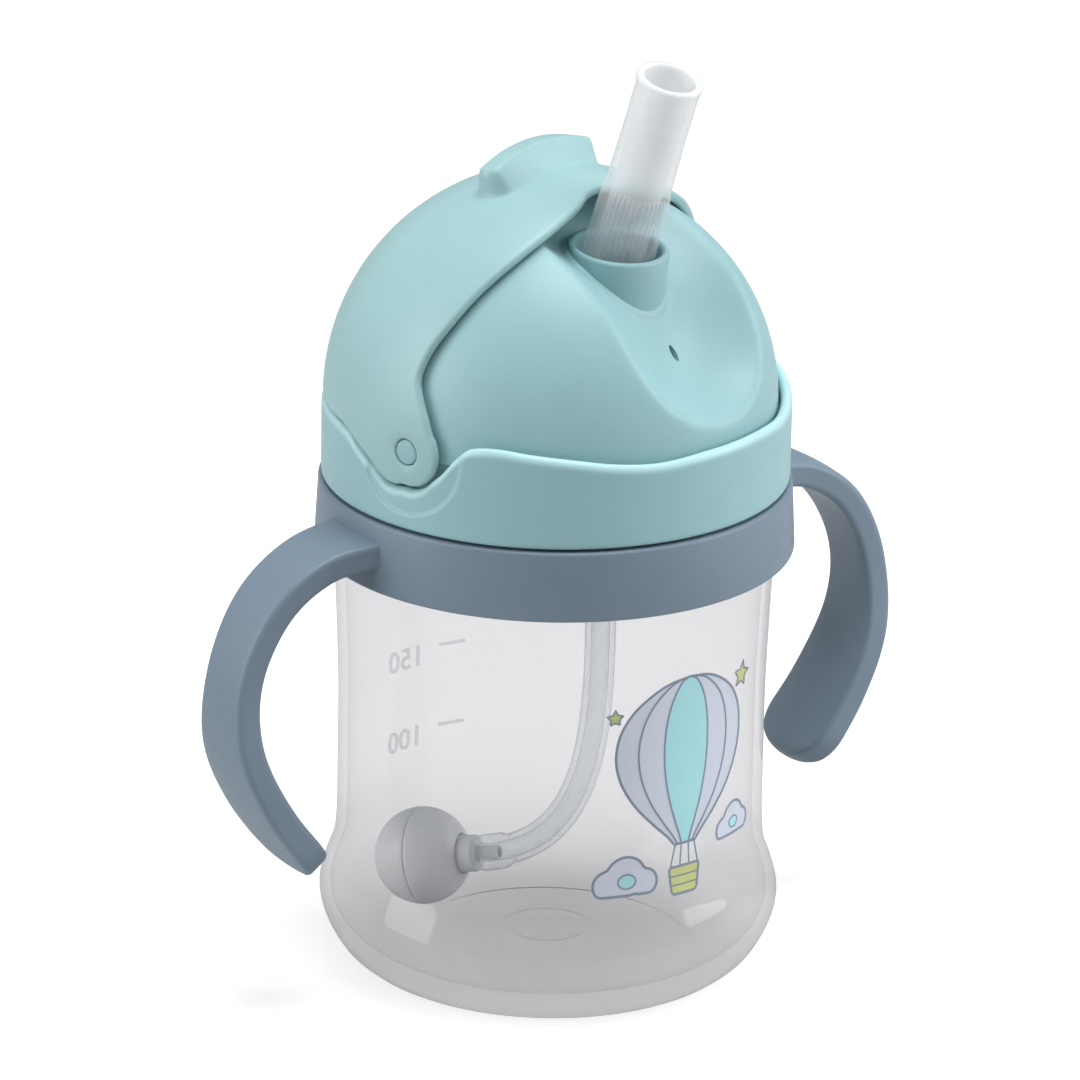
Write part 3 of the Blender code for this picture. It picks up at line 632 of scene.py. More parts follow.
def plate(outline, layer):
    """Points and faces of a thin closed plate of the print."""
    step = 1.3
    outline = np.asarray(outline, float)
    spans = [np.arange(outline[:, k].min(), outline[:, k].max(), step) for k in (0, 1)]
    grid_x, grid_y = np.meshgrid(*spans)
    grid = np.stack([grid_x.ravel(), grid_y.ravel()], -1)
    grid = grid[inside(outline, grid)]
    gap = np.min(np.linalg.norm(grid[:, None] - outline[None], axis=2), axis=1)
    flat = np.vstack([outline, grid[gap > step * 0.45]])
    n = len(outline)
    edges = [(i, (i + 1) % n) for i in range(n)]
    cut = delaunay_2d_cdt([Vector(p) for p in flat], edges, [], 0, 1e-6)
    flat = np.array([tuple(p) for p in cut[0]])
    middles = np.array([flat[list(f)].mean(0) for f in cut[2]])
    triangles = [tuple(f) for f, keep in zip(cut[2], inside(outline, middles)) if keep]
    m = len(flat)
    low, high = layer
    points = np.vstack([wrap(flat, high, PRINT_AZIMUTH), wrap(flat, low, PRINT_AZIMUTH)])
    faces = triangles + [tuple(i + m for i in reversed(f)) for f in triangles]
    # a dict keeps the sides in order; those met one way only are the border
    sides = dict.fromkeys(pair for f in triangles for pair in zip(f, f[1:] + f[:1]))
    faces += [(b, a, a + m, b + m) for a, b in sides if (b, a) not in sides]
    return points, faces


def stroke(line, width, layer=LINE_LAYER, azimuth=PRINT_AZIMUTH, closed=True):
    """Points and faces of a thin line on the wall."""
    line = resample(np.asarray(line, float), 0.55, closed)
    if closed:
        tangent = np.roll(line, -1, 0) - np.roll(line, 1, 0)
    else:
        tangent = np.gradient(line, axis=0)
    tangent = unit(tangent)
    aside = np.stack([-tangent[:, 1], tangent[:, 0]], -1) * width / 2
    low, high = layer
    corners = ((line + aside, low), (line + aside, high), (line - aside, high), (line - aside, low))
    points = np.stack([wrap(p, lift, azimuth) for p, lift in corners], 1).reshape(-1, 3)
    faces = ring_faces(len(line), 4, closed)
    if not closed:
        faces += end_caps(len(line), 4)
    return points, faces


def numerals(text, azimuth, z):
    """Points and faces of raised numerals, read from outside."""
    curve = bpy.data.curves.new("mark_text", "FONT")
    curve.body, curve.size, curve.extrude = text, 5.2, 0.5
    curve.resolution_u = 4
    curve.align_x, curve.align_y = "CENTER", "CENTER"
    ob = add_object("mark_text", curve)
    mesh = evaluated_mesh(ob)
    bpy.data.objects.remove(ob)
    low, high = MARK_LAYER
    points = []
    with editing(mesh) as bm:
        bmesh.ops.remove_doubles(bm, verts=bm.verts, dist=1e-4)
        bmesh.ops.triangulate(bm, faces=bm.faces)
        for vertex in bm.verts:
            x, y, depth = vertex.co
            points.append(wrap([(x, z + y)], high if depth > 0 else low, azimuth)[0])
        faces = [tuple(corner.index for corner in f.verts) for f in bm.faces]
    return np.array(points), faces


def joined(name, parts, material):
    """One object from several sets of points and faces on the bottle."""
    points, faces, start = [], [], 0
    for part_points, part_faces in parts:
        points.append(part_points)
        faces += [tuple(i + start for i in f) for f in part_faces]
        start += len(part_points)
    ob = solid(name, np.vstack(points), faces, welded=False)
    finish(ob, material, "bottle", (), sharp=30)


# ---------------------------------------------------------------- the print: balloon, clouds, stars
BALLOON_SIDE = spline([
    (2.1, 29.4), (3.4, 31.0), (6.0, 33.5), (9.2, 37.0), (11.6, 41.0), (12.6, 45.0),
    (12.1, 49.0), (10.2, 52.5), (7.4, 55.0), (3.9, 56.8), (0.0, 57.4),
], 6)
GORE_SHARES = (0.34, 0.7)  # the seams' share of the balloon's half width
BASKET = [
    (-2.5, 21.4), (-2.1, 21.0), (2.1, 21.0), (2.5, 21.4),
    (3.0, 25.2), (2.8, 25.6), (-2.8, 25.6), (-3.0, 25.2),
]
# across at the balloon and at the basket
ROPES = ((-1.9, -2.7), (-0.7, -0.9), (0.7, 0.9), (1.9, 2.7))


def mirrored(side):
    return np.vstack([side, side[::-1][1:] * [-1, 1]])


def cloud(across, z, discs, flat):
    """The outline round discs of (across, height, radius), cut flat below the centre."""
    outline = []
    for a in full_turn(90):
        ray = np.array([math.cos(a), math.sin(a)])
        reach = 0.4
        for disc_across, disc_z, radius in discs:
            centre = np.array([disc_across, disc_z])
            b = ray @ centre
            q = b * b - (centre @ centre - radius * radius)
            if q > 0:
                reach = max(reach, b + math.sqrt(q))
        if reach * ray[1] < -flat:
            reach = -flat / ray[1]
        outline.append((across + reach * ray[0], z + reach * ray[1]))
    return resample(np.array(outline), 0.45, True)


def star(across, z, tip, notch, tilt=0):
    out = []
    for k in range(10):
        r, a = (tip if k % 2 == 0 else notch), math.radians(36 * k + tilt)
        out.append((across + r * math.sin(a), z + r * math.cos(a)))
    return out


def ellipse(across, z, half_width, half_height):
    return [(across + half_width * math.cos(a), z + half_height * math.sin(a))
            for a in full_turn(28)]


def build_print():
    balloon = resample(mirrored(BALLOON_SIDE), 0.6)
    middle = resample(mirrored(BALLOON_SIDE * [GORE_SHARES[0], 1]), 0.7)
    left_cloud = cloud(-10.6, 24.2, [(-2.9, 0.0, 2.5), (0.0, 1.3, 3.3), (3.1, 0.0, 2.3)], 1.9)
    right_cloud = cloud(11.4, 29.2, [(-2.4, -0.1, 2.0), (0.2, 1.1, 2.8), (2.7, 0.0, 1.9)], 1.5)
    left_spot = ellipse(-10.4, 24.6, 1.5, 1.2)
    right_spot = ellipse(11.6, 29.6, 1.2, 0.95)
    large_star = star(12.6, 54.2, tip=2.3, notch=1.05, tilt=8)
    small_star = star(-12.9, 52.3, tip=1.5, notch=0.7)

    pale = [plate(shape, FILL_LAYER) for shape in (balloon, left_cloud, right_cloud)]
    joined("print_pale", pale, INK_PALE)
    mint = [plate(shape, MINT_LAYER) for shape in (middle, left_spot, right_spot)]
    joined("print_mint", mint, INK_MINT)
    lime = [plate(resample(np.array(shape), step, True), FILL_LAYER)
            for shape, step in ((BASKET, 0.5), (large_star, 0.5), (small_star, 0.4))]
    joined("print_lime", lime, INK_LIME)

    lines = [stroke(shape, 0.42) for shape in (balloon, left_cloud, right_cloud, BASKET)]
    lines += [stroke(large_star, 0.32), stroke(small_star, 0.26)]
    for share in GORE_SHARES:
        for sign in (1, -1):
            seam = (BALLOON_SIDE * [share * sign, 1])[:-2]
            lines.append(stroke(seam, 0.3, closed=False))
    for top, bottom in ROPES:
        lines.append(stroke([(top, 29.3), (bottom, 25.7)], 0.26, closed=False))
    for z in (22.5, 24.0):
        lines.append(stroke([(-2.6, z), (2.6, z)], 0.22, closed=False))
    lines += [stroke(left_spot, 0.26), stroke(right_spot, 0.24)]
    joined("print_outline", lines, INK_LINE)


def build_volume_marks():
    marks = [numerals(text, 101.5, z) for text, z in (("150", 39.4), ("100", 25.4))]
    for z in (40.6, 26.6):
        dash = [(-2.3, z), (2.3, z)]
        marks.append(stroke(dash, 0.45, MARK_LAYER, azimuth=86.0, closed=False))
    joined("volume_marks", marks, MARK)


# ---------------------------------------------------------------- handle ring and handles
# (radius, height)
RING_PROFILE = [
    (32.95, 81.1), (32.95, 71.8), (35.25, 71.8), (35.25, 69.9), (38.0, 69.9), (37.4, 81.1),
]
RING_ROUNDING = [0.3, 0.2, 0.2, 0.3, 0.55, 0.6]
# (distance from the axis, height) down the middle of a handle
HANDLE_PATH = [
    (34.6, 76.1), (45.0, 74.3), (53.2, 68.4), (58.2, 58.2), (58.6, 46.6), (53.8, 35.4),
    (45.4, 24.0),
]
# (share of the length, width)
HANDLE_WIDTHS = spline([
    (0.0, 15.6), (0.12, 12.9), (0.33, 11.6), (0.5, 11.4), (0.72, 14.8), (1.0, 17.0),
], 12)
TIP_STATIONS = 6.5  # the length at the tip with closer stations
TIP_ROUND = 7.4  # the length over which the width closes
TIP_POWER = 2.15
TIP_THINNING = 2.8  # the length over which the thickness closes


def band_section(w, t):
    """A flat band of half width w and half thickness t, crowned, with rounded corners."""
    radius = min(0.95, 0.46 * t, 0.46 * w)
    corners = ((1, 1, 0), (-1, 1, 90), (-1, -1, 180), (1, -1, 270))
    points = []
    for i, (sx, sy, first) in enumerate(corners):
        for k in range(8):
            a = math.radians(first + 90 * k / 7)
            x = sx * (w - radius) + radius * math.cos(a)
            points.append((x, sy * (t - radius) + radius * math.sin(a)))
        nx, ny, _ = corners[(i + 1) % 4]
        start = np.array(points[-1])
        end = np.array((
            nx * (w if nx == sx else w - radius),
            ny * (t if ny == sy else t - radius),
        ))
        points += [tuple(start + (end - start) * k / 7) for k in range(1, 7)]
    points = np.array(points)
    crown = 0.3 * (1 - (points[:, 0] / w) ** 2) * min(1, t / 1.5)
    points[:, 1] += np.sign(points[:, 1]) * crown
    return points


def build_handle(name, sign):
    """A handle on the +X side (sign 1) or the -X side (sign -1)."""
    path = resample(spline(HANDLE_PATH, 12), detail(0.5, 0.9))
    tangents = np.gradient(path, axis=0)
    run = arc_length(path)
    total = run[-1]
    closing = total - TIP_STATIONS * (1 - np.sin(np.linspace(0, math.pi / 2, 26)))
    stations = np.concatenate([run[run < total - TIP_STATIONS], closing])
    rings = []
    for s in np.clip(stations, 0, total - 0.004):
        r, z = (np.interp(s, run, path[:, k]) for k in (0, 1))
        tangent_r, tangent_z = (np.interp(s, run, tangents[:, k]) for k in (0, 1))
        length = math.hypot(tangent_r, tangent_z)
        tangent_r, tangent_z = tangent_r / length, tangent_z / length
        w = float(np.interp(s / total, HANDLE_WIDTHS[:, 0], HANDLE_WIDTHS[:, 1])) / 2
        t = np.interp(s / total, [0, 0.5, 1.0], [4.5, 4.4, 4.9]) / 2 - 0.15
        left = total - s
        if left < TIP_ROUND:
            closed = ((TIP_ROUND - left) / TIP_ROUND) ** TIP_POWER
            w *= max(1 - closed, 1e-3) ** (1 / TIP_POWER)
        if left < TIP_THINNING:
            t *= math.sqrt(max(1 - ((TIP_THINNING - left) / TIP_THINNING) ** 2, 1e-3))
        section = band_section(w, t)
        across = np.array([0, 1.0, 0])
        through = np.array([-sign * tangent_z, 0, tangent_r])
        centre = np.array([sign * r, 0, z])
        rings.append(centre + section[:, :1] * across + section[:, 1:] * through)
    return skin_rings(name, rings)


def build_handles():
    ring = lathe("handle_ring_moulding", rounded(RING_PROFILE, RING_ROUNDING), detail(240, 96))
    for sign, label in ((1, "right"), (-1, "left")):
        boolean(ring, build_handle(f"handle_{label}", sign), "UNION")
    finish(ring, SLATE, "handles", ["handle_ring"], sharp=32)


# ---------------------------------------------------------------- side outlines of hood and collar
def polar(r, degrees):
    """(forward, up) from the pivot, forward being -Y and angles rising from forward."""
    return (r * math.cos(math.radians(degrees)), r * math.sin(math.radians(degrees)))


# (distance from the pivot, angle)
HOOD_FRONT = [
    (36.8, 74.0), (33.8, 73.4), (30.3, 74.4), (25.7, 77.0), (20.3, 80.4), (15.9, 84.6),
    (11.8, 86.5), (9.0, 78.0), (6.8, 60.0),
]
HOOD_REAR = [
    (6.6, 246.0), (7.6, 228.0), (8.8, 204.0), (12.0, 187.0), (16.0, 179.6), (30.0, 178.6),
    (36.8, 178.4),
]
HOOD_SWING = 72.0  # from the hood as built to its front edge lying along the collar


def collar_rim():
    """The collar's top edge as (forward, up) from the pivot, running from front to back."""
    rim = [(39.8, polar(HOOD_RADIUS, 2.0)[1])]
    rim += [polar(r, a - HOOD_SWING) for r, a in HOOD_FRONT[:-1]]
    rim += [polar(7.75, -3.5), polar(6.85, -14.5), polar(6.2, -27)]
    rim += [polar(EAR_RADIUS + 0.12, a) for a in range(-38, -100, -12)]
    rim += [polar(r, a) for r, a in HOOD_REAR]
    rim += [(-39.8, polar(HOOD_RADIUS, 178.4)[1])]
    rim = spline(rim, 12)
    return rim[np.argsort(-rim[:, 0])]


RIM = collar_rim()


def rim_height(forward):
    return float(PIVOT_Z - 0.42 + np.interp(-forward, -RIM[:, 0], RIM[:, 1]))


# ---------------------------------------------------------------- lid collar
# (radius, height) of the bottom edge, from the inner side out
COLLAR_FOOT = [
    (33.1, 81.9), (33.3, 81.55), (33.6, 81.5), (36.4, 81.5), (36.75, 81.6), (36.95, 81.85),
]
LEDGE_Z = 92.4
LIP_HEIGHT = 1.55
LIP_POWER = 0.92


def collar_section(forward):
    """The collar's closed (radius, height) section at a forward distance on its wall."""
    top = rim_height(forward)
    inner = 33.9 + (35.1 - 33.9) * float(smoothstep((top - 91.9) / 1.0))
    lip_base = top - LIP_HEIGHT
    section = list(COLLAR_FOOT)
    for z in np.linspace(82.15, lip_base, 30):
        # the wall is set in by 0.5 round the hood's ears
        from_pivot = math.hypot(forward, z - PIVOT_Z)
        set_in = 0.5 * float(smoothstep((10.3 - from_pivot) / 0.6))
        section.append((COLLAR_RADIUS - set_in, z))
    outer = section[-1][0]
    middle, half = (outer + inner) / 2, (outer - inner) / 2
    for k in range(1, 15):
        a = math.pi * k / 15
        c, s = math.cos(a), math.sin(a)
        r = middle + half * np.sign(c) * abs(c) ** LIP_POWER
        section.append((r, lip_base + LIP_HEIGHT * s**LIP_POWER))
    section += [
        (inner, lip_base), (inner, lip_base + (LEDGE_Z - lip_base) * 0.5), (inner, LEDGE_Z),
        (33.0, LEDGE_Z), (32.1, LEDGE_Z), (32.1, 91.3), (33.1, 90.6), (33.1, 86.0),
    ]
    return section


def lip_highlight_share(place):
    """How far up the collar's lip a point lies, from 0 to 1, which sets the share of the lip's
    painted highlight.
    """
    azimuth = math.atan2(place.y, place.x) - LID_TURN
    top = rim_height(-COLLAR_RADIUS * math.sin(azimuth))
    return float(smoothstep((place.z / MM - top + 1.5) / 1.1))


def build_collar():
    columns = detail(720, 240)
    points = []
    for a in full_turn(columns):
        section = collar_section(COLLAR_RADIUS * math.cos(a))
        points += [(r * math.sin(a), -r * math.cos(a), z) for r, z in section]
    faces = ring_faces(columns, len(section), closed=True)
    collar = solid("lid_collar_moulding", points, faces, lid=True)
    # the lip attribute carries the painted highlight on the collar's lip
    paint(collar, "lip", lip_highlight_share)
    finish(collar, MINT, "lid", ["lid_collar"], sharp=42)
    # half a turn from the neck's ridge, allowing for the lid's turn
    z = THREAD_Z + THREAD_PITCH * (LID_DEGREES / 360 - 0.5)
    ridge = thread("collar_thread", root=33.45, crest=32.2, z=z, turns=1.0)
    finish(ridge, MINT, "lid", (), sharp=42)


# ---------------------------------------------------------------- dome with the drinking scoop
SCOOP_DEPTH = 9.2
# (radius, height) of the dome's lower edge, from the outer side in
DOME_EDGE = [
    (34.8, 92.9), (34.6, 92.7), (30.2, 92.7), (29.9, 92.5), (29.9, 89.2), (29.7, 89.0),
    (29.2, 89.0), (29.0, 89.2), (29.0, 93.6), (29.4, 94.0),
]
# (radius, height) about the socket's own axis, from its top
SOCKET = [
    (0, -16.5), (7.7, -16.5), (8.0, -16.2), (8.0, -12.0), (8.0, -8.0), (8.0, -4.0),
    (8.0, -0.62), (7.93, -0.3), (7.72, -0.08), (7.4, 0.0), (0, 0.0),
]
SOCKET_BORE = [
    (0, -20.5), (4.3, -20.5), (4.3, -15.1), (6.75, -15.1), (6.75, -0.75), (6.82, -0.4),
    (7.05, -0.12), (7.3, 0.0), (7.34, 0.3), (7.34, 6.0), (0, 6.0),
]
PIN_BORE = [(0, 31.95), (1.62, 31.95), (1.62, 40.0), (0, 40.0)]
# (height, scale) through the vent slot, which flares outwards
VENT_STATIONS = ((-6, 0.9), (-0.5, 0.95), (0.35, 1.0), (0.9, 1.35), (6, 2.2))
PIN_FRAMES = {
    label: Matrix.Translation(Vector((0, 0, PIVOT_Z)))
    @ Matrix.Rotation(sign * math.pi / 2, 4, "Y")
    for label, sign in (("right", 1), ("left", -1))
}


def scoop_depth(x, forward, up):
    """How deep the scoop is cut into the dome in a direction."""
    length = np.sqrt(x * x + forward * forward + up * up)
    across = np.degrees(np.arcsin(np.clip(x / length, -1, 1)))
    turn = np.degrees(np.arctan2(up, forward))
    g = 1 - np.abs((turn - 52.0) / 45.5) ** 3.6 - (across / 26.0) ** 2
    g = 0.5 * (g + np.sqrt(g * g + 0.05**2))  # softens the edge
    return np.where(g < 0.004, 0.0, SCOOP_DEPTH * 2.5 * g / (g + 1.5))


def dome_grid(inset):
    """The dome's face as a grid of points, by angle to the side and angle up from the front."""
    step = detail(0.9, 2.0)
    sides = np.radians(np.linspace(-90, 90, int(180 / step) + 1))
    turns = np.radians(np.linspace(0, 180, int(180 / step) + 1))
    side, turn = np.meshgrid(sides, turns, indexing="ij")
    x, forward, up = np.sin(side), np.cos(side) * np.cos(turn), np.cos(side) * np.sin(turn)
    depth = scoop_depth(x, forward, up)
    r = DOME_RADIUS - depth - inset
    points = np.stack([r * x, -r * forward, PIVOT_Z + r * up], -1)
    if inset == 0:
        # inside the scoop the outer face swells up to the socket
        from_top = points - SOCKET_TOP
        off_axis = from_top - (from_top @ LOWER_AXIS)[..., None] * LOWER_AXIS
        distance = np.linalg.norm(off_axis, axis=-1)
        # unlike the depth above, this reads the swept face's own direction
        lift = 0.75 * np.clip((9.2 - distance) / 1.2, 0, 1) ** 2
        lift = np.where(depth > 0.2, lift, 0)
        points += np.stack([x, -forward, up], -1) * lift[..., None]
    return points


def vent_tool():
    """An oval slot through the front of the dome."""
    a = full_turn(32)
    place = Matrix.Translation(Vector((0, -22.7, 106.0)))
    place = place @ Matrix.Rotation(math.radians(62), 4, "X")
    rings = []
    for z, k in VENT_STATIONS:
        x, y = 0.52 * k * np.cos(a), 1.38 * (0.7 + 0.3 * k) * np.sin(a)
        rings.append(transformed(np.stack([x, y, np.full(32, z)], -1), place))
    return skin_rings("vent_cut", rings, lid=True)


def build_dome():
    grids = [dome_grid(0), dome_grid(DOME_WALL)]
    rows, columns = grids[0].shape[:2]
    points, faces = [], []
    for grid in grids:
        start = len(points)
        points.extend(grid.reshape(-1, 3))
        for i in range(rows - 1):
            for k in range(columns - 1):
                a, b = start + i * columns + k, start + (i + 1) * columns + k
                faces.append((a, b, b + 1, a + 1))
    outer_loop = [i * columns for i in range(rows)]
    outer_loop += [i * columns + columns - 1 for i in reversed(range(1, rows - 1))]
    outward = unit(np.array([points[i] for i in outer_loop])[:, :2])
    loops = [outer_loop]
    for r, z in DOME_EDGE:
        start = len(points)
        points.extend(np.column_stack([outward * r, np.full(len(outward), z)]))
        loops.append(range(start, start + len(outward)))
    loops.append([i + rows * columns for i in outer_loop])
    faces += bridge(loops)
    dome = solid("lid_dome_moulding", points, faces, lid=True)

    place = Matrix.Translation(Vector(SOCKET_TOP)) @ Matrix.Rotation(SOCKET_TILT, 4, "X")
    sides = detail(144, 72)
    boolean(dome, lathe("socket", SOCKET, sides, place, lid=True), "UNION")
    boolean(dome, lathe("bore", SOCKET_BORE, sides, place, lid=True), "DIFFERENCE")
    boolean(dome, vent_tool(), "DIFFERENCE")
    for pin_frame in PIN_FRAMES.values():
        boolean(dome, lathe("pin_bore", PIN_BORE, 40, pin_frame, lid=True), "DIFFERENCE")
    finish(dome, MINT, "lid", ["lid_dome"], sharp=35)


# ---------------------------------------------------------------- hood
# the front edge near the middle, as (distance from the pivot, angle)
HOOD_PEAK = [
    (36.8, 77.9), (36.68, 77.3), (36.44, 75.9), (36.0, 74.6), (35.3, 73.9), (33.6, 73.5),
]
PIN_HOLE_RADIUS = 2.14
EDGE_ROLL, HOLE_ROLL = 0.8, 0.25
ROLL_POWER = 0.72
HOOD_CENTRE = np.array([0.0, 0.588, 0.809])  # the direction the hood is flattened about
# a raised rib across the top: its angle up from the front, and the half extents of its fine grid
RIB_ANGLE = 98.0
RIB_GRID_X, RIB_GRID_Y = 14.2, 6.6


def hood_edge():
    """The hood's outline as unit directions from the pivot."""

    def on_sphere(x, degrees):
        return (x, *polar(math.sqrt(HOOD_RADIUS**2 - x * x), degrees))

    half = [
        (math.sqrt(max(HOOD_RADIUS**2 - r * r, 0)), *polar(r, a))
        for r, a in HOOD_PEAK + HOOD_FRONT[2:]
    ]
    ear_x = math.sqrt(HOOD_RADIUS**2 - EAR_RADIUS**2)
    half += [(ear_x, *polar(EAR_RADIUS, a)) for a in range(400, 246, -14)]
    half += [on_sphere(math.sqrt(HOOD_RADIUS**2 - r * r), a) for r, a in HOOD_REAR[:5]]
    for x in (30.0, 27.0, 23.5, 20.0, 16.0, 12.0, 8.0, 4.0, 0.0):
        half.append(on_sphere(x, np.interp(-x, [-33.14, -21.3, 0.0], [179.6, 178.6, 178.4])))
    half = np.array(half)
    outline = np.vstack([half, half[1:-1][::-1] * [-1, 1, 1]])
    outline = np.stack([outline[:, 0], -outline[:, 1], outline[:, 2]], -1)
    return unit(resample(spline(outline, 10, closed=True), detail(0.42, 0.8), True))


def pin_hole(sign):
    a = full_turn(48)
    s = PIN_HOLE_RADIUS / HOOD_RADIUS
    return np.stack([np.full(48, sign * math.sqrt(1 - s * s)), s * np.cos(a), s * np.sin(a)], -1)


def rib_place(directions):
    """(x, y) in millimetres from the rib's middle, y running to the front."""
    turn = np.degrees(np.arctan2(directions[:, 2], -directions[:, 1]))
    x = np.arcsin(np.clip(directions[:, 0], -1, 1)) * HOOD_RADIUS
    return x, np.radians(RIB_ANGLE - turn) * HOOD_RADIUS


def rib_height(directions):
    x, y = rib_place(directions)
    beyond_x = np.maximum(np.abs(x) - 10.1, 0) / 2.6
    beyond_y = np.where(y > 0, y / 4.3, -y / 3.5)
    q = np.sqrt(beyond_x**2 + beyond_y**2)
    height = (4.35 - 0.35 * (x / 10) ** 2) * smoothstep((1.0 - q) / 0.66)
    return np.where((np.abs(x) < 13) & (np.abs(y) < 6) & (directions[:, 2] > 0), height, 0)


def hood_interior():
    """Directions spread evenly over the sphere, with a fine grid at the rib."""
    count = detail(11000, 3500)
    i = np.arange(count) + 0.5
    z = 1 - 2 * i / count
    a = math.pi * (1 + 5**0.5) * i
    spread = np.stack([np.sqrt(1 - z * z) * np.cos(a), np.sqrt(1 - z * z) * np.sin(a), z], -1)
    step = detail(0.3, 0.6)
    grid_x, grid_y = np.meshgrid(
        np.arange(-RIB_GRID_X, RIB_GRID_X + 0.01, step),
        np.arange(-RIB_GRID_Y, RIB_GRID_Y + 0.01, step))
    turn = np.radians(RIB_ANGLE) - grid_y.ravel() / HOOD_RADIUS
    side = grid_x.ravel() / HOOD_RADIUS
    fine = np.stack([np.sin(side), -np.cos(side) * np.cos(turn), np.cos(side) * np.sin(turn)], -1)
    x, y = rib_place(spread)
    near_rib = (np.abs(x) < 14.5) & (np.abs(y) < 6.9) & (spread[:, 2] > 0)
    return np.vstack([spread[~near_rib], fine])


def flatten(directions):
    """Stereographic projection about HOOD_CENTRE."""
    centre = HOOD_CENTRE / np.linalg.norm(HOOD_CENTRE)
    x_axis = np.array([1.0, 0, 0])
    y_axis = np.cross(centre, x_axis)
    k = 1 + directions @ centre
    return np.stack([directions @ x_axis, directions @ y_axis], -1) / k[:, None]


def on_hood(outlines, flat):
    """Which flat points lie inside the first outline and outside the others."""
    ok = inside(outlines[0], flat)
    for outline in outlines[1:]:
        ok &= ~inside(outline, flat)
    return ok


def spherical_shell(name, loops, rolls, interior):
    """The hood's shell. Each edge loop is rolled over from the outer to the inner face.

    The first loop is the outline and the others are holes.
    """
    middle_radius = (HOOD_RADIUS + HOOD_INNER) / 2
    half_wall = (HOOD_RADIUS - HOOD_INNER) / 2
    insets, outwards = [], []
    for n, loop in enumerate(loops):
        tangent = unit(np.roll(loop, -1, 0) - np.roll(loop, 1, 0))
        outward = unit(np.cross(tangent, loop))
        q = flatten(loop)
        area = 0.5 * np.sum(q[:, 0] * np.roll(q[:, 1], -1) - np.roll(q[:, 0], -1) * q[:, 1])
        if (area > 0) == (n > 0):
            outward = -outward
        insets.append(unit(loop - outward * (rolls[n] / middle_radius)))
        outwards.append(outward)
    outlines = [flatten(inset) for inset in insets]
    interior = interior[on_hood(outlines, flatten(interior))]
    edge_points = np.vstack(insets)
    keep = np.ones(len(interior), bool)
    for i in range(0, len(interior), 2000):  # in blocks, to bound the memory used
        gaps = np.linalg.norm(interior[i : i + 2000][:, None] - edge_points[None], axis=2)
        keep[i : i + 2000] = np.min(gaps, axis=1) > 0.5 / HOOD_RADIUS
    directions = np.vstack([edge_points, interior[keep]])
    edges, start = [], 0
    for inset in insets:
        k = len(inset)
        edges += [(start + i, start + (i + 1) % k) for i in range(k)]
        start += k
    cut = delaunay_2d_cdt([Vector(p) for p in flatten(directions)], edges, [], 0, 1e-9)
    source = [o[0] if o else -1 for o in cut[3]]
    flat = np.array([tuple(p) for p in cut[0]])
    middles = np.array([flat[list(f)].mean(0) for f in cut[2]])
    kept = on_hood(outlines, middles)
    triangles = [tuple(source[i] for i in f) for f, ok in zip(cut[2], kept) if ok]
    m = len(directions)
    points = [directions * (HOOD_RADIUS + rib_height(directions))[:, None]]
    points.append(directions * HOOD_INNER)
    faces = triangles + [tuple(i + m for i in reversed(f)) for f in triangles]
    new_start, start = 2 * m, 0
    for inset, outward, roll in zip(insets, outwards, rolls):
        k = len(inset)
        steps = 9 if roll > 0.5 else 5
        rings = [range(start, start + k)]
        for s in range(1, steps):
            a = math.pi * s / steps
            c = math.cos(a)
            radial = middle_radius + half_wall * np.sign(c) * abs(c) ** ROLL_POWER
            points.append(inset * radial + outward * roll * math.sin(a) ** ROLL_POWER)
            rings.append(range(new_start, new_start + k))
            new_start += k
        rings.append(range(start + m, start + m + k))
        faces += bridge(rings)
        start += k
    points = np.vstack(points)
    points[:, 2] += PIVOT_Z
    return solid(name, points, faces, lid=True)


def build_hood():
    loops = [hood_edge(), pin_hole(1), pin_hole(-1)]
    rolls = [EDGE_ROLL, HOLE_ROLL, HOLE_ROLL]
    hood = spherical_shell("hood_shell", loops, rolls, hood_interior())
    finish(hood, MINT_HOOD, "hood", ["hood"], sharp=60)


# (radius, distance from the lid's axis)
PIN_PROFILE = [
    (0, 32.2), (1.3, 32.2), (1.5, 32.4), (1.5, 36.0), (1.85, 36.0), (1.98, 36.1), (2.0, 36.3),
    (1.95, 36.48), (1.8, 36.58), (1.2, 36.66), (0, 36.7),
]


def build_pins():
    for label, pin_frame in PIN_FRAMES.items():
        pin = lathe(f"pivot_pin_{label}_turned", PIN_PROFILE, 64, pin_frame, lid=True)
        finish(pin, MINT, "lid", [f"pivot_pin_{label}"], sharp=35)


# ---------------------------------------------------------------- straw
# (distance along from the fold, outer radius, inner radius)
STRAW_STATIONS = np.array([
    (-14.0, 3.3, 2.35), (-13.8, 3.4, 2.35), (-12.6, 3.4, 2.35), (-12.45, 5.9, 2.35),
    (-12.3, 6.1, 2.4), (-11.1, 6.1, 2.6), (-10.95, 5.9, 3.1), (-10.7, 5.4, 3.6),
    (-5.0, 5.55, 3.9), (-1.2, 5.65, 4.0), (1.2, 5.65, 4.0), (8.0, 5.55, 4.0),
    (11.4, 5.4, 3.97), (12.6, 5.15, 3.95), (22.0, 5.0, 3.9), (29.6, 5.0, 3.9),
    (30.3, 5.12, 3.92), (31.0, 5.24, 3.98), (31.4, 5.24, 4.05), (31.7, 5.1, 4.2),
    (31.8, 4.85, 4.45),
])
BEND = 2.6  # the bend's reach either side of the fold
GRIP_END = 12.6
GRIP_ANGLE = math.radians(-138.0)  # the middle of one ribbed patch; the other is opposite
GRIP_RADIUS, GRIP_PITCH, GRIP_DEPTH = 5.5, 0.8, 0.34


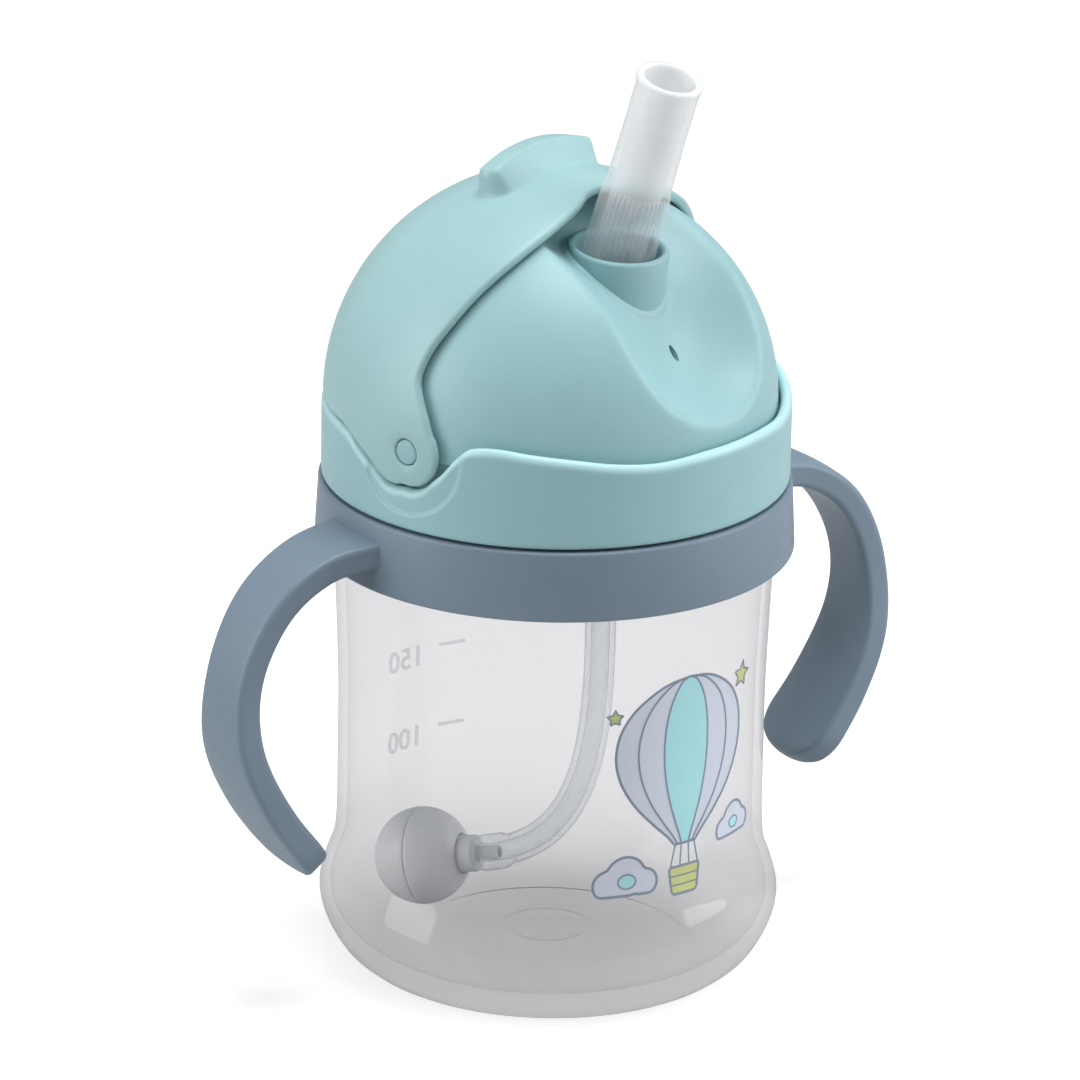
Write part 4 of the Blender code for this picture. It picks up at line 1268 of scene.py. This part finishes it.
def straw_point(s):
    if s <= -BEND:
        return FOLD + LOWER_AXIS * s
    if s >= BEND:
        return FOLD + UPPER_AXIS * s
    t = (s + BEND) / (2 * BEND)
    start, end = FOLD - LOWER_AXIS * BEND, FOLD + UPPER_AXIS * BEND
    return (1 - t) ** 2 * start + 2 * t * (1 - t) * FOLD + t * t * end


def grip_relief(s, a):
    """The height of the lengthwise grip ribs at a distance s and angles a."""
    fade = float(smoothstep((s - BEND) / 0.8) * smoothstep((GRIP_END - s) / 0.8))
    out = np.zeros_like(a)
    for middle in (GRIP_ANGLE, GRIP_ANGLE + math.pi):
        d = (a - middle + math.pi) % (2 * math.pi) - math.pi
        window = smoothstep((math.radians(52) - np.abs(d)) / math.radians(5))
        wave = 0.5 + 0.5 * np.cos(d * GRIP_RADIUS / GRIP_PITCH * 2 * math.pi)
        out += window * wave * GRIP_DEPTH
    return out * fade


def build_straw():
    spaced = np.arange(-10, 31, detail(0.42, 1.2))
    along = np.unique(np.round(np.concatenate([STRAW_STATIONS[:, 0], spaced]), 3))
    outer, inner = (np.interp(along, STRAW_STATIONS[:, 0], STRAW_STATIONS[:, k]) for k in (1, 2))
    straw = tube(
        "straw_soft", [straw_point(s) for s in along], outer, inner, detail(300, 90),
        reference=np.array([1.0, 0, 0]), lid=True, relief=lambda i, a: grip_relief(along[i], a))
    turn_back = Matrix.Rotation(-LID_TURN, 3, "Z")

    def thinness(place):
        """1 low on the straw, falling to 0 up its mouthpiece."""
        s = (np.array(turn_back @ place) / MM - FOLD) @ UPPER_AXIS
        return 1.0 - float(smoothstep((s - 8.5) / 8.0))

    paint(straw, "thin", thinness)
    finish(straw, STRAW, None, (), sharp=50)
    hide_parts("straw")
    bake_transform(straw)


# ---------------------------------------------------------------- drinking tube and weighted ball
BALL_AZIMUTH = math.radians(125.3)
BALL_CENTRE = np.array([21.8 * math.cos(BALL_AZIMUTH), 21.8 * math.sin(BALL_AZIMUTH), 12.0])
STUB_RISE = math.radians(12.0)
# the ball's axis, back towards the bottle's axis and up a little
STUB_AXIS = np.array([
    -math.cos(BALL_AZIMUTH) * math.cos(STUB_RISE),
    -math.sin(BALL_AZIMUTH) * math.cos(STUB_RISE),
    math.sin(STUB_RISE),
])
TUBE_START = 10.2  # from the ball's centre to the tube's lower end


def build_drinking_tube():
    top = turn_with_lid(FOLD - LOWER_AXIS * 14.6 - LOWER_AXIS * 1.4)
    foot = BALL_CENTRE + STUB_AXIS * TUBE_START
    top_pull = top + turn_with_lid(-LOWER_AXIS) * 42
    foot_pull = foot + STUB_AXIS * 30
    t = np.linspace(0, 1, detail(150, 60))[:, None]
    path = (top * (1 - t) ** 3 + top_pull * 3 * t * (1 - t) ** 2
            + foot_pull * 3 * t * t * (1 - t) + foot * t**3)
    count = len(path)
    outer = np.full(count, 2.45)
    # the tube swells over the ball's stub, and both ends are eased
    to_foot = np.linalg.norm(path - foot, axis=1)
    outer += 0.5 * smoothstep((5.2 - to_foot) / 0.9) * (np.arange(count) > count // 2)
    outer[0] = 2.25
    outer[-1] -= 0.2
    ob = tube("drinking_tube", path, outer, np.full(count, 1.5), detail(40, 24),
              reference=np.array([0.2, -0.3, 0.0]))
    finish(ob, TUBE, None, (), sharp=50)
    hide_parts("straw_tube")
    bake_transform(ob)


def arc(r, start, end, steps):
    angles = np.radians(np.linspace(start, end, steps + 1))
    return [(r * math.cos(a), r * math.sin(a)) for a in angles]


# profiles are (radius, height) along the ball's axis, the front facing the tube
BALL_OUTER = 7.9
BALL_INNER = BALL_OUTER - 1.2
BALL_FRONT = [
    (3.35, 7.0), (3.4, 7.13), *arc(BALL_OUTER, 64.4, 2.4, 30),
    (BALL_OUTER - 0.06, 0.1), (BALL_OUTER - 0.2, 0.05), (BALL_INNER, 0.05),
    *arc(BALL_INNER, 1.9, 60.7, 16),
]
BALL_REAR = [
    (1.7, -7.58), *arc(BALL_OUTER, -76.5, -2.4, 34),
    (BALL_OUTER - 0.06, -0.1), (BALL_OUTER - 0.2, -0.03), (BALL_INNER, -0.03),
    *arc(BALL_INNER, -1.4, -76.2, 18),
]
BALL_WEIGHT = rounded([(1.7, -3.6), (5.2, -3.6), (5.2, 3.0), (1.7, 3.0)], [0.2, 0.6, 0.6, 0.2])
BALL_STUB = rounded(
    [(0.8, 3.3), (4.2, 3.3), (4.2, 4.6), (3.0, 4.9), (3.0, 9.8), (1.15, 9.8), (1.15, 13.6),
     (0.8, 13.6)],
    [0, 0.2, 0.2, 0.1, 0.5, 0.1, 0.1, 0])
# name, profile, material, the CAD piece it stands for, slot
BALL_PARTS = [
    ("ball_front_shell", BALL_FRONT, BALL, "ball_shell_front", "ball_plastic"),
    ("ball_rear_shell", BALL_REAR, BALL, "ball_shell_rear", "ball_plastic"),
    ("ball_weight_turned", BALL_WEIGHT, STEEL, "ball_weight", "weight_steel"),
    ("ball_stub", BALL_STUB, BALL, "ball_connector", "ball_plastic"),
]


def build_ball():
    turned = Vector(STUB_AXIS).to_track_quat("Z", "X").to_matrix().to_4x4()
    place = Matrix.Translation(Vector(BALL_CENTRE)) @ turned
    for name, profile, material, piece, slot in BALL_PARTS:
        ob = lathe(name, profile, detail(112, 48), place)
        finish(ob, material, "weighted_ball", [piece], sharp=35)


def dress_cad_pieces():
    """The CAD pieces kept as they are get their materials."""
    for name, material in (("lid_seal", SEAL), ("vent_valve", VALVE), ("tube_connector", BALL)):
        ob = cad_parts[name]
        ob.data.shade_smooth()
        ob.data.set_sharp_from_angle(angle=math.radians(35))
        if not ob.material_slots:
            ob.data.materials.append(material)
        for slot in ob.material_slots:
            slot.material = material


# ---------------------------------------------------------------- floor, light and camera, in metres
# the camera looks from -Y, and it and the lights are turned together about Z
VIEW_TURN = math.radians(-32.7)
FLOOR_HALF, FLOOR_Z = 6, -0.0002
CAMERA_PLACE = (0.0, -1.1880, 0.5061)
CAMERA_YAW, CAMERA_PITCH, CAMERA_ROLL = -0.0019, 0.3521, 0.0178  # radians, pitch downwards
CAMERA_LENS = 266.66667  # millimetres, on a 36 mm sensor
# name, place before the turn, height aimed at, (width, height), watts
SOFTBOXES = [
    ("top_softbox", (0.1, -0.1, 1.0), 0.08, (0.55, 0.55), 7.0),
    ("right_softbox", (0.9, -0.05, 0.42), 0.08, (0.5, 0.7), 5.0),
    ("left_softbox", (-0.88, -0.28, 0.36), 0.07, (0.5, 0.7), 4.4),
]


def build_floor():
    floor = add_object("studio_floor", bpy.data.meshes.new("studio_floor"))
    corners = ((-1, -1), (1, -1), (1, 1), (-1, 1))
    points = [(x * FLOOR_HALF, y * FLOOR_HALF, FLOOR_Z) for x, y in corners]
    floor.data.from_pydata(points, [], [(0, 1, 2, 3)])
    material, nodes = new_material("studio_floor")
    tone = nodes.noise(scale=6.0, detail=3.0, rough=0.5)
    diffuse = nodes.add("BsdfDiffuse", {"Color": nodes.ramp(tone, (0.3, 0.62), (0.7, 0.635))})
    seen = nodes.ray("Camera")
    strength = nodes.math("MULTIPLY", seen, 0.52)
    glow = nodes.add("Emission", {"Color": (1, 1, 1, 1), "Strength": strength})
    near = nodes.add("AddShader", {0: diffuse, 1: glow})
    # far from the cup the floor runs out into the white backdrop, so low views show no horizon
    place = nodes.add("NewGeometry").outputs["Position"]
    away = nodes.add("VectorMath", {0: place}, operation="LENGTH").outputs["Value"]
    fade = nodes.map_range(away, (0.14, 0.6), (0.0, 1.0), interpolation_type="SMOOTHSTEP")
    white = nodes.add("Emission", {"Strength": 1.0})
    surface = nodes.mix_shader(nodes.math("MULTIPLY", fade, seen), near, white)
    nodes.add("OutputMaterial", {"Surface": surface})
    floor.data.materials.append(material)


def build_world():
    """White to the camera. As light, brighter above and dimmer on the camera's side."""
    world = bpy.data.worlds.new("studio")
    bpy.context.scene.world = world
    nodes = Nodes(world)
    direction = nodes.add("TexCoord").outputs["Generated"]
    up = nodes.add("SeparateXYZ", {"Vector": direction}).outputs["Z"]
    sky = nodes.map_range(up, (-0.2, 1.0), (0.30, 0.54))
    to_camera = (math.sin(VIEW_TURN), -math.cos(VIEW_TURN), 0)
    facing = nodes.add("VectorMath", {0: direction, 1: to_camera}, operation="DOT_PRODUCT")
    dimming = nodes.map_range(facing.outputs["Value"], (0.05, 0.9), (1.0, 0.42))
    strength = nodes.math("MULTIPLY", sky, dimming)
    light = nodes.add("Background", {"Color": (0.97, 0.99, 1.0, 1), "Strength": strength})
    backdrop = nodes.add("Background", {"Color": (1, 1, 1, 1)})
    surface = nodes.mix_shader(nodes.ray("Camera"), light, backdrop)
    nodes.add("OutputWorld", {"Surface": surface})


def build_lights():
    c, s = math.cos(VIEW_TURN), math.sin(VIEW_TURN)
    for name, (x, y, z), aim_z, (width, height), power in SOFTBOXES:
        light = bpy.data.lights.new(name, "AREA")
        light.shape, light.energy = "RECTANGLE", power
        light.size, light.size_y = width, height
        ob = add_object(name, light)
        place = (x * c - y * s, x * s + y * c, z)
        ob.location = place
        aim = Vector((0, 0, aim_z)) - Vector(place)
        ob.rotation_euler = aim.to_track_quat("-Z", "Y").to_euler()
        ob.visible_camera = False


def build_camera():
    forward = np.array([
        math.sin(CAMERA_YAW) * math.cos(CAMERA_PITCH),
        math.cos(CAMERA_YAW) * math.cos(CAMERA_PITCH),
        -math.sin(CAMERA_PITCH),
    ])
    level_right = np.cross(forward, [0, 0, 1.0])
    level_right /= np.linalg.norm(level_right)
    level_up = np.cross(level_right, forward)
    c, s = math.cos(CAMERA_ROLL), math.sin(CAMERA_ROLL)
    right = c * level_right + s * level_up
    up = -s * level_right + c * level_up
    rotation = Matrix([(right[i], up[i], -forward[i]) for i in range(3)])
    spin = Matrix.Rotation(VIEW_TURN, 3, "Z")
    camera = add_object("camera", bpy.data.cameras.new("camera"))
    place = Matrix.Translation(spin @ Vector(CAMERA_PLACE))
    camera.matrix_world = place @ (spin @ rotation).to_4x4()
    camera.data.sensor_width = 36.0
    camera.data.lens = CAMERA_LENS
    camera.data.clip_start, camera.data.clip_end = 0.05, 50
    bpy.context.scene.camera = camera


def set_render():
    scene = bpy.context.scene
    scene.view_settings.view_transform = "Standard"
    scene.cycles.transparent_max_bounces = 32
    scene.cycles.max_bounces = 12


# ---------------------------------------------------------------- build
build_bottle()
build_print()
build_volume_marks()
build_handles()
build_collar()
build_dome()
build_hood()
build_pins()
build_straw()
build_drinking_tube()
build_ball()
dress_cad_pieces()
build_floor()
build_world()
build_lights()
build_camera()
set_render()
